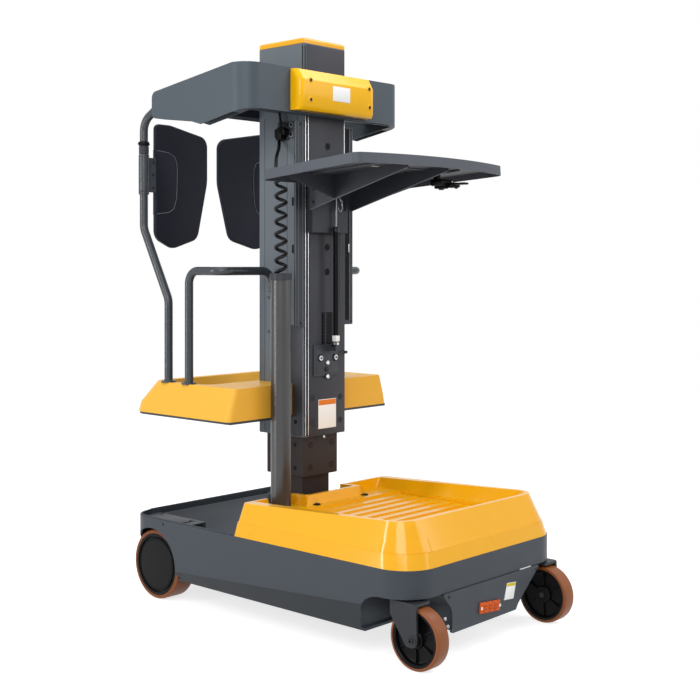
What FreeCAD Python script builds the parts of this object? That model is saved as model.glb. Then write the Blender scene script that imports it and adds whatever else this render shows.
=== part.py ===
# Order picker truck: wheeled base, three-stage mast, raised operator platform and load tray.
# Millimetres. +Z up, the load deck faces -Y, X = 0 is the centre plane, Z = 0 the floor.
# A place named ..._back is a distance behind the skirt's front face, which lies at front_y.

import FreeCAD, Part
import math
import os
import re
import Sketcher

Vector = FreeCAD.Vector

# name, value, what it is
SIZES = [
    ("front_y", -594.3, "place of the skirt's front face"),
    ("running_gap", 5.5, "clearance between pieces that move past each other"),
    ("slide_gap", 0.3, "clearance at slide pads and soft seats"),

    # Skirt and chassis
    ("skirt_width", 750.0, "outside width of the skirt"),
    ("skirt_length", 1247.0, "outside length of the skirt"),
    ("skirt_top", 275.0, "height of the skirt's rim"),
    ("skirt_bottom", 83.0, "ground clearance under the skirt"),
    ("skirt_wall", 8.0, "thickness of the skirt and the floor plate"),
    ("skirt_corner", 108.0, "radius of the skirt's front corners"),
    ("skirt_rear_corner", 87.0, "radius of the skirt's rear corners"),
    ("fascia_bottom", 195.0, "lower edge of the skirt over the casters"),
    ("arch_back", 183.0, "rear end of the caster arch"),
    ("arch_lip_back", 163.0, "rear end of the caster arch at its lower lip"),
    ("arch_lip_rise", 34.0, "height over which the arch's lip curves back"),
    ("arch_round", 40.0, "radius of the arch's rear shoulder"),
    ("arch_shoulder_drop", 27.0, "drop of the arch's rear shoulder below its top"),
    ("arch_shoulder_run", 46.0, "run of the arch's rear shoulder"),
    ("arch_top_round", 100.0, "radius where that shoulder meets the arch's top"),
    ("arch_lip_round", 60.0, "radius above the arch's lip"),
    ("floor_back", 178.0, "front edge of the floor plate behind the casters"),
    ("bevel_depth", 16.0, "how far the skirt's lower edge turns in"),
    ("bevel_front_rise", 96.0, "height of the bevel at the front"),
    ("bevel_rear_rise", 18.0, "height of the bevel at the rear wheels"),
    ("sill_width", 22.0, "width of the sills inside the skirt"),
    ("sill_top", 150.0, "top of the sills"),
    ("bulkhead_back", 190.0, "front of the bulkhead behind the casters"),
    ("bulkhead_wall", 6.0, "thickness of that bulkhead"),

    # Front panel between the casters
    ("panel_bottom", 76.0, "lower edge of the front panel"),
    ("foot_in_left", 178.0, "from the skirt's left side to the panel's foot"),
    ("foot_in_right", 251.0, "from the skirt's right side to the panel's foot"),
    ("knee_in_right", 239.0, "from the skirt's right side to the knee in the panel's edge"),
    ("panel_knee_height", 96.0, "height of the knees in both edges"),
    ("side_in_left", 185.0, "from the skirt's left side to the upright part of the panel's edge"),
    ("panel_side_top", 134.0, "top of that upright part"),
    ("waist_in_left", 179.0, "from the skirt's left side to where the panel starts to flare"),
    ("panel_waist_height", 150.0, "height of that place"),
    ("top_in_left", 142.0, "from the skirt's left side to the panel's top"),
    ("top_in_right", 123.0, "from the skirt's right side to the panel's top"),
    ("panel_round", 8.0, "corner radius of the panel"),
    ("duct_in_left", 189.0, "from the skirt's left side to the duct behind the panel"),
    ("duct_step", 6.0, "how far the duct stands in from the panel's edge"),
    ("panel_proud", 4.0, "how far the panel stands in front of the skirt"),
    ("panel_wall", 5.0, "sheet thickness of the front panel"),
    ("panel_gap", 1.0, "seam between the panel and the skirt above it"),

    # Battery
    ("battery_width", 480.0, "width of the battery block"),
    ("battery_back", 200.0, "front of the battery block"),
    ("battery_length", 330.0, "length of the battery block"),
    ("battery_height", 165.0, "height of the battery block"),

    # Load deck
    ("deck_edge", 2.0, "how far the deck's foot stands in from the skirt"),
    ("deck_rear_back", 726.0, "rear end of the load deck at its foot"),
    ("deck_belt", 318.0, "height of the deck's belt line"),
    ("deck_belt_side", 9.0, "lean of the deck's foot band at the sides"),
    ("deck_belt_front", 12.0, "lean of the deck's foot band at the front"),
    ("deck_top_front", 402.0, "height of the deck's rim at the front"),
    ("deck_top_rear", 374.0, "height of the deck's rim at the rear"),
    ("deck_lean_side", 35.0, "lean of the deck's upper wall at the sides"),
    ("deck_lean_front", 42.0, "lean of the deck's upper wall at the front"),
    ("deck_lean_rear", 6.0, "lean of each wall band at the rear"),
    ("deck_step", 2.0, "step in the wall at the belt line"),
    ("deck_foot_round", 106.0, "front corner radius of the deck at its foot"),
    ("deck_belt_round", 104.0, "front corner radius of the deck at its belt line"),
    ("deck_top_round", 70.0, "front corner radius of the deck at its rim"),
    ("deck_rear_round", 16.0, "corner radius of the deck's rear corners"),
    ("deck_floor", 338.0, "height of the cargo floor"),
    ("deck_ledge", 346.0, "height of the ledge behind the cargo floor"),
    ("deck_ledge_back", 588.0, "front of that ledge"),
    ("deck_skin", 7.0, "thickness of the deck's floor"),
    ("rim_wall", 8.0, "wall of the hollow rims"),
    ("under_inset", 21.0, "width of the seat under the deck"),
    ("bay_half", 318.0, "half width of the cargo bay at its rim"),
    ("bay_front_back", 68.0, "front of the cargo bay at its rim"),
    ("bay_rear_back", 704.0, "rear of the cargo bay beside the mast"),
    ("bay_foot_half", 285.0, "half width of the cargo bay at its foot"),
    ("bay_foot_back", 100.0, "front of the cargo bay at its foot"),
    ("bay_round", 60.0, "front corner radius of the bay at its rim"),
    ("bay_foot_round", 45.0, "front corner radius of the bay at its foot"),
    ("bay_rear_round", 10.0, "rear corner radius of the bay"),
    ("cargo_inset", 12.0, "width of the ledge round the cargo floor"),
    ("cargo_round", 34.0, "corner radius of the cargo floor"),
    ("saddle_half", 121.0, "half width of the wall round the mast pocket"),
    ("saddle_back", 642.0, "front of the wall round the mast pocket"),
    ("saddle_foot_half", 130.0, "half width of that wall at its foot"),
    ("saddle_foot_back", 628.0, "front of that wall at its foot"),
    ("saddle_wall", 9.0, "thickness of that wall"),
    ("rib_count", 9, "number of ribs on the cargo floor"),
    ("rib_first_back", 134.0, "first rib"),
    ("rib_pitch", 50.0, "distance from rib to rib"),
    ("rib_width", 22.0, "width of a rib"),
    ("rib_half_length", 248.0, "half length of a rib"),
    ("rib_height", 4.5, "height of a rib"),

    # Rear well
    ("pan_lip", 262.0, "height of the rear pan's lip and of the wheel covers"),
    ("pan_floor", 128.0, "height of the rear pan's lowest part"),
    ("pan_wall", 4.0, "sheet thickness of the pan"),
    ("pan_rear_back", 1212.0, "rear lip of the pan"),
    ("pan_curve_back", 930.0, "where the pan's curve meets its flat part"),
    ("pan_front_back", 742.0, "front end of the pan"),
    ("cover_width", 120.0, "distance from the skirt's side to the inner side of the wheel covers"),
    ("cover_back", 990.0, "front end of the wheel covers"),

    # Drive wheels
    ("drive_back", 1129.0, "axle of the drive wheels"),
    ("drive_radius", 115.5, "radius of the drive wheels"),
    ("drive_width", 75.0, "width of the drive tyres"),
    ("drive_inset", 20.0, "distance from the skirt's side to the drive wheel's outer face"),
    ("drive_tread", 12.0, "thickness of the drive tyre"),
    ("drive_arch", 9.0, "gap between drive tyre and arch"),
    ("axle_radius", 17.0, "radius of the drive axle"),
    ("axle_fit", 0.06, "radial clearance of a wheel on its axle"),
    ("axle_plate", 10.0, "thickness of the axle's mounting plate"),
    ("axle_plate_half", 60.0, "half length of that plate"),
    ("axle_plate_rise", 50.0, "height of that plate over the axle"),
    ("hub_dish", 12.0, "thickness of the drive hub outside its axle"),
    ("hub_gap", 2.0, "gap between the axle's end and that part of the hub"),

    # Casters
    ("caster_radius", 87.5, "radius of the caster wheels"),
    ("caster_width", 50.0, "width of the caster wheels"),
    ("caster_inset", 60.0, "distance from the skirt's side to the casters' kingpins"),
    ("caster_back", 14.0, "axle of the caster wheels"),
    ("caster_trail", 32.0, "distance from kingpin to axle"),
    ("caster_tread", 9.0, "thickness of the caster tyre"),
    ("fork_top", 189.0, "top of the fork's crown"),
    ("fork_plate", 8.0, "thickness of the fork's plate"),
    ("fork_gap", 3.0, "gap between the caster wheel and the fork's leg"),
    ("fork_front", 48.0, "front of the fork's crown ahead of the kingpin"),
    ("fork_rear", 46.0, "rear of the fork's crown behind the kingpin"),
    ("fork_knee", 31.0, "height of the leg's straight rear edge"),
    ("fork_round", 12.0, "corner radius of the fork's leg"),
    ("fork_eye", 20.0, "radius of the fork leg's lower end"),
    ("kingpin_radius", 16.0, "radius of the swivel bearing"),
    ("caster_axle_radius", 8.0, "radius of the caster axle"),
    ("mount_plate", 8.0, "thickness of the caster mounting plate"),
    ("mount_bottom", 199.0, "underside of the caster mounting plate"),
    ("mount_inner", 165.0, "inner edge of the caster mounting plate"),

    # Mast
    ("inner_half", 64.0, "half width of the fixed inner stage"),
    ("inner_back", 723.0, "front of the inner stage"),
    ("inner_depth", 130.0, "depth of the inner stage"),
    ("inner_top", 1420.0, "top of the inner stage"),
    ("inner_wall", 6.0, "wall of the inner stage"),
    ("middle_half", 81.0, "half width of the middle stage"),
    ("middle_back", 701.0, "front of the middle stage"),
    ("middle_depth", 173.0, "depth of the middle stage"),
    ("middle_bottom", 423.0, "lower end of the middle stage"),
    ("middle_length", 1250.0, "length of the middle stage"),
    ("middle_wall", 7.0, "wall of the middle stage"),
    ("outer_half", 98.0, "half width of the outer stage"),
    ("outer_back", 682.0, "front of the outer stage"),
    ("outer_depth", 212.0, "depth of the outer stage"),
    ("outer_bottom", 558.0, "lower end of the outer stage"),
    ("outer_top", 1855.0, "top of the outer stage"),
    ("outer_wall", 7.0, "wall of the outer stage"),
    ("cap_height", 19.0, "height of the mast's cap"),
    ("cap_round", 9.0, "edge radius of the cap"),
    ("pad_height", 70.0, "height of a slide pad"),
    ("pad_width", 34.0, "width of a slide pad"),
    ("pad_inset", 40.0, "distance from a stage's end to its pads"),
    ("guide_half", 138.0, "outer edge of the tray guides"),
    ("guide_bottom", 923.0, "lower end of the tray guides"),
    ("guide_top", 1597.0, "upper end of the tray guides"),
    ("guide_wall", 6.0, "thickness of the tray guides"),
    ("rack_half", 15.0, "half width of the locking rack"),
    ("rack_wall", 3.0, "thickness of the locking rack"),
    ("rack_bottom", 862.0, "lower end of the locking rack"),
    ("rack_top", 1225.0, "upper end of the locking rack"),

    # Cable conduit
    ("conduit_x", -195.0, "axis of the conduit"),
    ("conduit_back", 690.0, "axis of the conduit"),
    ("conduit_radius", 33.0, "outer radius of the conduit"),
    ("conduit_wall", 2.5, "wall of the conduit"),
    ("conduit_top", 1076.0, "top of the conduit's tube"),
    ("collar_height", 22.0, "height of the collar on the conduit"),
    ("collar_wall", 3.0, "how far the collar stands proud of the tube"),
    ("notch_gap", 4.0, "gap between the conduit and the notch in the deck's rim"),
    ("notch_flare", 14.0, "how far the notch widens on each side"),
    ("coil_radius", 22.5, "outer radius of the curly cord"),
    ("coil_bottom", 372.0, "lower end of the curly cord"),
    ("coil_top", 1430.0, "upper end of the curly cord"),
    ("lead_radius", 4.75, "radius of the cord"),
    ("plug_bottom", 1537.0, "underside of the plug"),

    # Platform
    ("platform_half", 378.0, "half width of the platform at its foot"),
    ("platform_back", 736.0, "front of the platform"),
    ("platform_rear_back", 1243.0, "rear of the platform at its foot"),
    ("platform_bottom", 628.0, "underside of the yellow shell"),
    ("platform_foot_height", 33.0, "height of the platform's foot band"),
    ("platform_wall_height", 71.0, "height of the platform's upper wall"),
    ("platform_floor_rise", 18.0, "height of the standing floor over the underside"),
    ("platform_belt_lean", 6.0, "lean of the platform's foot band"),
    ("platform_side_lean", 22.0, "lean of the upper wall at the sides"),
    ("platform_rear_lean", 62.0, "lean of the upper wall at the rear"),
    ("platform_round", 76.0, "radius of the platform's rear corners"),
    ("platform_front_round", 19.0, "radius of the platform's front corners"),
    ("platform_rim", 32.0, "width of the platform's rim"),
    ("tub_lean", 18.0, "lean of the tub's inner wall"),
    ("tub_front_back", 905.0, "front of the standing tub"),
    ("tub_round", 38.0, "corner radius of the tub"),
    ("mat_height", 6.0, "thickness of the floor mat"),
    ("mat_inset", 4.0, "gap round the floor mat"),
    ("base_plate", 8.0, "thickness of the dark plate under the platform"),
    ("base_inset", 2.0, "how far that plate stands in at the front and rear"),

    # Posts and rails
    ("tube_radius", 14.0, "radius of posts and rails"),
    ("tube_wall", 2.0, "wall of posts and rails"),
    ("post_x", 335.0, "posts and rails"),
    ("post_foot_back", 1087.0, "foot of a post"),
    ("post_knee", 1008.0, "height where a post leans back"),
    ("post_back", 1221.0, "upper part of a post"),
    ("post_elbow", 1251.0, "height where a post is upright again"),
    ("post_shoulder", 1618.0, "height where a post turns forward"),
    ("post_end_back", 1121.0, "end of a post in the band"),
    ("post_end", 1672.0, "height of that end"),
    ("post_bend", 60.0, "bend radius of a post"),
    ("rail_back", 981.0, "rear leg of a rail"),
    ("rail_height", 1105.0, "height of a rail"),
    ("rail_front_back", 822.0, "front run of a rail"),
    ("rail_foot", 1035.0, "lower end of a rail at the mast"),
    ("rail_bend", 42.0, "bend radius of a rail"),

    # Console band
    ("band_half", 376.0, "half width of the band"),
    ("band_back", 659.0, "front of the band"),
    ("band_wall", 4.0, "wall of the band"),
    ("band_arm", 42.0, "width of an arm"),
    ("band_depth", 18.0, "depth of the band's front"),
    ("band_round", 66.0, "corner radius of the band"),
    ("band_end_back", 1126.0, "rear end of the band's arms"),
    ("band_front_bottom", 1617.0, "lower edge of the band at the front"),
    ("band_front_top", 1762.0, "upper edge of the band at the front"),
    ("band_rear_top", 1704.0, "upper edge of an arm at its end"),
    ("band_rear_bottom", 1618.0, "lower edge of an arm at its end"),
    ("band_low_back", 877.0, "lowest place of an arm"),
    ("band_low", 1579.0, "height of that place"),
    ("band_knee_back", 927.0, "knee in an arm's lower edge"),
    ("band_knee", 1593.0, "height of that knee"),
    ("shelf_height", 1632.0, "underside of the plate inside the band"),
    ("shelf_wall", 4.0, "thickness of that plate"),
    ("shelf_rear_back", 800.0, "rear end of that plate"),

    # Box on the band
    ("box_half", 182.0, "half width of the yellow box"),
    ("box_depth", 44.0, "depth of the box"),
    ("box_bottom", 1624.0, "lower edge at the band"),
    ("box_top", 1757.0, "upper edge at the band"),
    ("box_top_depth", 22.0, "depth of the box at its upper edge"),
    ("box_round", 22.0, "radius of the box's front corners"),
    ("box_face_bottom", 1637.0, "lower edge of its face"),
    ("box_face_top", 1722.0, "upper edge of its face"),

    # Operator's console behind the mast
    ("dash_half", 205.0, "half width of the operator's console"),
    ("dash_depth", 105.0, "depth of the console"),
    ("dash_bottom", 1622.0, "underside of the console"),
    ("dash_front_top", 1742.0, "top of the console at the mast"),
    ("dash_rear_top", 1690.0, "top of the console at the operator"),
    ("dash_toe_depth", 30.0, "depth of the chamfer under the console"),
    ("dash_toe_height", 26.0, "height of that chamfer"),
    ("grip_x", 150.0, "place of the grips"),
    ("grip_radius", 13.0, "radius of a grip"),
    ("grip_height", 62.0, "height of a grip's bow"),
    ("grip_half", 38.0, "half width of a grip's bow"),
    ("grip_bend", 20.0, "bend radius of a grip's bow"),
    ("grip_wall", 4.0, "wall of a grip"),

    # Gates
    ("gate_swing", 6.1, "angle by which a closed gate stands back"),
    ("gate_edge", 50.0, "distance from the post's axis to the panel"),
    ("gate_wall", 18.0, "thickness of a gate panel"),
    ("gate_round", 6.0, "edge radius of a gate panel"),
    ("gate_width", 260.0, "width of a gate panel"),
    ("gate_bottom", 1181.0, "lowest place of a gate panel"),
    ("gate_height", 435.0, "height of a gate panel"),
    ("sleeve_bottom", 1376.0, "lower end of a gate's sleeve"),
    ("sleeve_top", 1495.0, "upper end of a gate's sleeve"),
    ("sleeve_wall", 4.0, "wall of a gate's sleeve"),
    ("hinge_fit", 0.08, "radial clearance of a sleeve on its post"),
    ("ring_height", 9.0, "height of the stop rings on a post"),

    # Load tray
    ("tray_half", 362.0, "half width of the tray at its front"),
    ("tray_rear_half", 330.0, "half width of the tray at its rear"),
    ("tray_back", 214.0, "front corners of the tray"),
    ("tray_bow", 45.0, "how far the front edge bows out"),
    ("tray_rear_back", 646.5, "rear edge of the tray"),
    ("tray_top", 1450.0, "upper edge of the rim at the front"),
    ("tray_rim", 31.0, "height of the tray's rim"),
    ("tray_wall", 3.0, "sheet thickness of the tray"),
    ("tray_tilt", 4.0, "angle by which the tray leans to the mast"),
    ("tray_corner", 34.0, "corner radius of the tray"),
    ("tray_floor_drop", 9.0, "depth of the tray's floor below its rim"),
    ("tray_panel_inset", 9.0, "distance from the rim to the raised middle of the tray's floor"),
    ("tray_panel_rise", 1.0, "height of that raised part"),
    ("slider_half", 85.0, "half width of the tray's slider"),
    ("slider_back", 655.0, "front of the slider"),
    ("slider_depth", 20.0, "thickness of the slider"),
    ("slider_bottom", 1232.0, "lower end of the slider"),
    ("slider_top", 1440.0, "upper end of the slider"),
    ("gusset_x", 100.0, "outer faces of the two gussets"),
    ("gusset_wall", 4.0, "sheet thickness of the gussets"),
    ("gusset_low", 1306.0, "lower edge of a gusset at the slider"),
    ("gusset_front_back", 236.0, "front end of a gusset"),
    ("gusset_lip", 14.0, "height of a gusset at its front end"),
    ("gusset_flange", 30.0, "width of a gusset's flange at the slider"),
    ("wing_back", 540.0, "place of the gussets' side wings"),
    ("wing_reach", 200.0, "reach of a wing"),
    ("wing_tip", 20.0, "height of a wing at its end"),
    ("handle_back", 420.0, "axis of the release handle"),
    ("handle_bottom", 1372.0, "underside of the release handle"),
    ("handle_foot", 24.0, "width of the handle's foot"),
    ("handle_rise", 30.0, "height of the handle's foot"),
    ("lever_reach", 120.0, "length of the handle's lever"),
    ("lever_width", 20.0, "width of the lever"),
    ("lever_height", 10.0, "thickness of the lever"),

    # Strut of the tray
    ("strut_x", 12.0, "axis of the strut"),
    ("strut_back", 641.0, "axis of the strut"),
    ("strut_radius", 9.0, "radius of the strut's body"),
    ("strut_bottom", 878.0, "lower end of the strut's body"),
    ("strut_top", 1249.0, "upper end of the strut's body"),
    ("rod_radius", 4.0, "radius of the strut's rod"),
    ("rod_fit", 0.3, "clearance round the rod in its body"),
    ("rod_top", 1352.0, "upper end of the strut's rod"),
    ("eye_height", 22.0, "height of the strut's end fittings"),
    ("eye_half", 9.0, "half width of those fittings"),
    ("rod_seat", 60.0, "length of rod that stays in the body"),
    ("clevis_top", 860.0, "top of the strut's lower bracket"),
    ("clevis_bottom", 756.0, "lower end of the strut's lower bracket"),
    ("clevis_half", 58.0, "half width of the strut's lower bracket"),
    ("clevis_wall", 8.0, "thickness of that bracket"),
    ("clevis_arm", 12.0, "half width of that bracket's arm"),
    ("clevis_rise", 20.0, "height of that arm"),

    # Plug block on the mast's side
    ("junction_back", 714.0, "front of the junction plate"),
    ("junction_length", 86.0, "length of the junction plate"),
    ("junction_height", 66.0, "height of the junction plate"),
    ("junction_wall", 4.0, "thickness of the junction plate"),
    ("plug_back", 750.0, "front of the plug block"),
    ("plug_length", 46.0, "length of the plug block"),
    ("plug_height", 43.0, "height of the plug block"),
    ("plug_depth", 32.0, "depth of the plug block"),
]

# Outline of a gate from its hinge edge and its lowest place
GATE_OUTLINE = [
    # share of the width, share of the height, corner radius as a share of the height
    (0.000, 0.083, 0.103),
    (0.323, 0.000, 0.138),
    (0.804, 0.083, 0.103),
    (1.000, 0.554, 0.345),
    (1.000, 0.926, 0.092),
    (0.277, 1.000, 0.184),
    (0.000, 0.998, 0.046),
]

# Run of the cord from the coil's top to the plug: x, distance behind the skirt's front face, z
LEAD_POINTS = [
    (-206.0, 701.0, 1430.3),
    (-206.0, 701.0, 1466.0),
    (-180.0, 724.0, 1488.0),
    (-150.0, 750.0, 1502.0),
    (-124.0, 772.0, 1512.0),
    (-112.0, 784.0, 1538.0),
]

# Places that several pieces share
LEFT_SIDE = "-skirt_width / 2"
RIGHT_SIDE = "skirt_width / 2"
CASTER_X = "(skirt_width / 2 - caster_inset)"
DRIVE_OUTER = "(skirt_width / 2 - drive_inset)"
COVER_HALF = "(skirt_width / 2 - cover_width)"
MAST_REAR = "(front_y + outer_back + outer_depth)"
PLATFORM_BELT = "(platform_bottom + platform_foot_height)"
PLATFORM_TOP = "(platform_bottom + platform_foot_height + platform_wall_height)"
PLATFORM_FLOOR = "(platform_bottom + platform_floor_rise)"

NAMES = {name for name, _, _ in SIZES}
doc = FreeCAD.newDocument("order_picker_truck")
sheet = doc.addObject("Spreadsheet::Sheet", "Sizes")
sums = doc.addObject("Spreadsheet::Sheet", "Sums")
for row, (name, value, note) in enumerate(SIZES, 1):
    sheet.set("A%d" % row, name)
    sheet.set("B%d" % row, str(value))
    sheet.set("C%d" % row, note)
    sheet.setAlias("B%d" % row, name)
doc.recompute()


def size(name):
    """Value of one cell of the sheet."""
    return float(getattr(sheet, name))


def back(name):
    """Y of a place that is given as a distance behind the skirt's front face."""
    return size("front_y") + size(name)


def formula(text):
    """Expression text with the sheet's name put before each of its aliases."""
    return re.sub(r"[a-z_]+", lambda m: "Sizes." + m.group(0) if m.group(0) in NAMES else m.group(0), text)


def bind(thing, prop, text):
    thing.setExpression(prop, formula(str(text)))


PARTS = []


def keep(thing, label):
    """Register a finished sub-part under its node name."""
    thing.Label = label
    PARTS.append(thing)
    return thing


def add(kind, name, **props):
    """Document object with its properties bound to formulas."""
    thing = doc.addObject(kind, name)
    for prop, text in props.items():
        bind(thing, prop, text)
    return thing


def at(thing, x, y, z):
    for axis, text in (("x", x), ("y", y), ("z", z)):
        bind(thing, "Placement.Base." + axis, text)
    return thing


def box(name, x, y, z, dx, dy, dz):
    return at(add("Part::Box", name, Length=dx, Width=dy, Height=dz), x, y, z)


# Rotation that turns a cylinder's axis from Z to the named axis
TURNS = {"X": (Vector(0, 1, 0), 90), "Y": (Vector(1, 0, 0), -90), "Z": (Vector(0, 0, 1), 0)}


def cylinder(name, axis, x, y, z, radius, height):
    thing = add("Part::Cylinder", name, Radius=radius, Height=height)
    thing.Placement.Rotation = FreeCAD.Rotation(*TURNS[axis])
    return at(thing, x, y, z)


def fuse(name, *things):
    thing = doc.addObject("Part::MultiFuse", name)
    thing.Shapes = list(things)
    thing.Refine = True
    return thing


def group(name, *things):
    """Several separate solids in one sub-part."""
    thing = doc.addObject("Part::Compound", name)
    thing.Links = list(things)
    return thing


def cut(name, base, *tools):
    tool = tools[0] if len(tools) == 1 else fuse(name + "_tool", *tools)
    thing = doc.addObject("Part::Cut", name)
    thing.Base = base
    thing.Tool = tool
    thing.Refine = True
    return thing


def new_body(name):
    return doc.addObject("PartDesign::Body", name)


PLANES = {"XY": "XY_Plane", "XZ": "XZ_Plane", "YZ": "YZ_Plane"}


def number(text):
    """Value of a formula, worked out in a sheet of its own."""
    sums.set("A1", "=" + formula(str(text)))
    sums.recompute()
    return float(sums.get("A1"))


def new_sketch(body, name, plane, offset):
    """Empty sketch on one of the body's planes; offset runs along the plane's +axis."""
    sketch = body.newObject("Sketcher::SketchObject", name)
    support = [f for f in body.Origin.OriginFeatures if f.Role == PLANES[plane]][0]
    sketch.AttachmentSupport = [(support, "")]
    sketch.MapMode = "FlatFace"
    sign = "-1 * " if plane == "XZ" else ""
    bind(sketch, "AttachmentOffset.Base.z", "%s(%s)" % (sign, offset))
    return sketch


def place_point(sketch, geometry, point, corner, spot):
    """Bind a sketch point to a pair of formulas."""
    for kind, text, value in zip(("DistanceX", "DistanceY"), corner, (spot.x, spot.y)):
        index = sketch.addConstraint(Sketcher.Constraint(kind, -1, 1, geometry, point, value))
        bind(sketch, "Constraints[%d]" % index, text)


def polygon(body, name, plane, points, offset="0", radii=None):
    """Closed sketch whose corners are bound to formulas, each rounded by its radius if it has one."""
    sketch = new_sketch(body, name, plane, offset)
    count = len(points)
    spots = [Vector(number(x), number(y), 0) for x, y in points]
    radii = radii or [None] * count
    rounds = [number(r) if r else 0.0 for r in radii]
    reach = []
    for k in range(count):
        inward = (spots[k - 1] - spots[k]).normalize()
        outward = (spots[(k + 1) % count] - spots[k]).normalize()
        reach.append((inward, outward, rounds[k] / math.tan(inward.getAngle(outward) / 2)))
    for k in range(count):
        after = (k + 1) % count
        start = spots[k] + reach[k][1] * reach[k][2]
        end = spots[after] + reach[after][0] * reach[after][2]
        sketch.addGeometry(Part.LineSegment(start, end), False)
    for k in range(count):
        before = (k - 1) % count
        if not rounds[k]:
            sketch.addConstraint(Sketcher.Constraint("Coincident", before, 2, k, 1))
            place_point(sketch, k, 1, points[k], spots[k])
            continue
        inward, outward, length = reach[k]
        half = inward.getAngle(outward) / 2
        bisector = (inward + outward).normalize()
        centre = spots[k] + bisector * (rounds[k] / math.sin(half))
        arc = Part.Arc(spots[k] + inward * length, centre - bisector * rounds[k], spots[k] + outward * length)
        index = sketch.addGeometry(arc, False)
        kept_way = (sketch.Geometry[index].StartPoint - (spots[k] + inward * length)).Length < 1e-3
        first, last = (1, 2) if kept_way else (2, 1)
        sketch.addConstraint(Sketcher.Constraint("Tangent", before, 2, index, first))
        sketch.addConstraint(Sketcher.Constraint("Tangent", index, last, k, 1))
        radius = sketch.addConstraint(Sketcher.Constraint("Radius", index, rounds[k]))
        bind(sketch, "Constraints[%d]" % radius, radii[k])
        corner = sketch.addGeometry(Part.Point(spots[k]), True)
        place_point(sketch, corner, 1, points[k], spots[k])
        sketch.addConstraint(Sketcher.Constraint("PointOnObject", corner, 1, before))
        sketch.addConstraint(Sketcher.Constraint("PointOnObject", corner, 1, k))
    return sketch


def circle(body, name, plane, across, up, radius, offset="0"):
    """Circle sketch bound to formulas."""
    sketch = new_sketch(body, name, plane, offset)
    spot = Vector(number(across), number(up), 0)
    sketch.addGeometry(Part.Circle(spot, Vector(0, 0, 1), number(radius)), False)
    place_point(sketch, 0, 3, (across, up), spot)
    index = sketch.addConstraint(Sketcher.Constraint("Radius", 0, number(radius)))
    bind(sketch, "Constraints[%d]" % index, radius)
    return sketch


def rectangle(x0, x1, y0, y1):
    return [(x0, y0), (x1, y0), (x1, y1), (x0, y1)]


def pad(body, sketch, length):
    """Extrude a sketch along its plane's +axis."""
    feature = body.newObject("PartDesign::Pad", sketch.Name + "_pad")
    feature.Profile = sketch
    feature.Reversed = sketch.AttachmentSupport[0][0].Role == "XZ_Plane"
    bind(feature, "Length", length)
    return feature


def pocket(body, sketch, length):
    """Cut a sketch along its plane's +axis, and see that it removes something."""
    doc.recompute()
    before = body.Shape.Volume
    feature = body.newObject("PartDesign::Pocket", sketch.Name + "_cut")
    feature.Profile = sketch
    feature.Reversed = sketch.AttachmentSupport[0][0].Role != "XZ_Plane"
    bind(feature, "Length", length)
    doc.recompute()
    if not body.Shape.Volume < before:
        raise ValueError("%s cuts nothing" % feature.Name)
    return feature


def loft(body, name, plane, sections, subtract=False):
    """Ruled loft through polygon sections given as (offset, points, radii)."""
    sketches = [polygon(body, "%s_%d" % (name, k), plane, points, offset, radii)
                for k, (offset, points, radii) in enumerate(sections)]
    kind = "PartDesign::SubtractiveLoft" if subtract else "PartDesign::AdditiveLoft"
    feature = body.newObject(kind, name)
    feature.Profile = sketches[0]
    feature.Sections = sketches[1:]
    feature.Ruled = True
    return feature


def round_edges(body, name, chosen, radius, kind="Fillet"):
    """Fillet or chamfer the edges of the body's tip that the test picks."""
    doc.recompute()
    tip = body.Tip
    picked = ["Edge%d" % (k + 1) for k, edge in enumerate(tip.Shape.Edges) if chosen(edge)]
    if not picked:
        raise ValueError("%s finds no edge" % name)
    feature = body.newObject("PartDesign::" + kind, name)
    feature.Base = (tip, picked)
    bind(feature, "Radius" if kind == "Fillet" else "Size", radius)
    doc.recompute()
    if "Invalid" in feature.State:
        raise ValueError("%s fails" % name)
    return feature


def hollow_out(body, name, chosen, wall):
    """Shell the body's tip inward, open at the faces that the test picks."""
    doc.recompute()
    tip = body.Tip
    picked = ["Face%d" % (k + 1) for k, face in enumerate(tip.Shape.Faces) if chosen(face)]
    feature = body.newObject("PartDesign::Thickness", name)
    feature.Base = (tip, picked)
    feature.Reversed = True
    feature.Join = "Intersection"
    bind(feature, "Value", wall)
    doc.recompute()
    if not picked or "Invalid" in feature.State:
        raise ValueError("%s fails" % name)
    return feature


def is_straight(edge):
    if len(edge.Vertexes) < 2:
        return False
    return abs(edge.Length - (edge.Vertexes[-1].Point - edge.Vertexes[0].Point).Length) < 1e-4


def is_along(edge, axis):
    """True for a straight edge that runs along the axis."""
    if not is_straight(edge):
        return False
    run = edge.Vertexes[-1].Point - edge.Vertexes[0].Point
    return abs(run.normalize().dot(axis)) > 0.9999


def lies_at(face, axis, place):
    """True for a flat face that lies across the axis at the place."""
    low = getattr(face.BoundBox, axis + "Min")
    high = getattr(face.BoundBox, axis + "Max")
    return high - low < 0.01 and abs(low - place) < 0.01


def middle(edge):
    return edge.BoundBox.Center


# Share of the shorter run that an arc of the cord takes
CORD_BEND_SHARE = 0.45

UP = Vector(0, 0, 1)
ACROSS = Vector(1, 0, 0)
ALONG = Vector(0, 1, 0)


def rounded_path(points, radii):
    """Wire of straight runs joined by tangent arcs, one radius for each inner point."""
    edges = []
    last = points[0]
    for before, corner, after, radius in zip(points, points[1:], points[2:], radii):
        inward = (before - corner).normalize()
        outward = (after - corner).normalize()
        half = inward.getAngle(outward) / 2
        reach = radius / math.tan(half)
        start = corner + inward * reach
        end = corner + outward * reach
        bisector = (inward + outward).normalize()
        centre = corner + bisector * (radius / math.sin(half))
        edges.append(Part.LineSegment(last, start).toShape())
        edges.append(Part.Arc(start, centre - bisector * radius, end).toShape())
        last = end
    edges.append(Part.LineSegment(last, points[-1]).toShape())
    return Part.Wire(edges)


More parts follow.
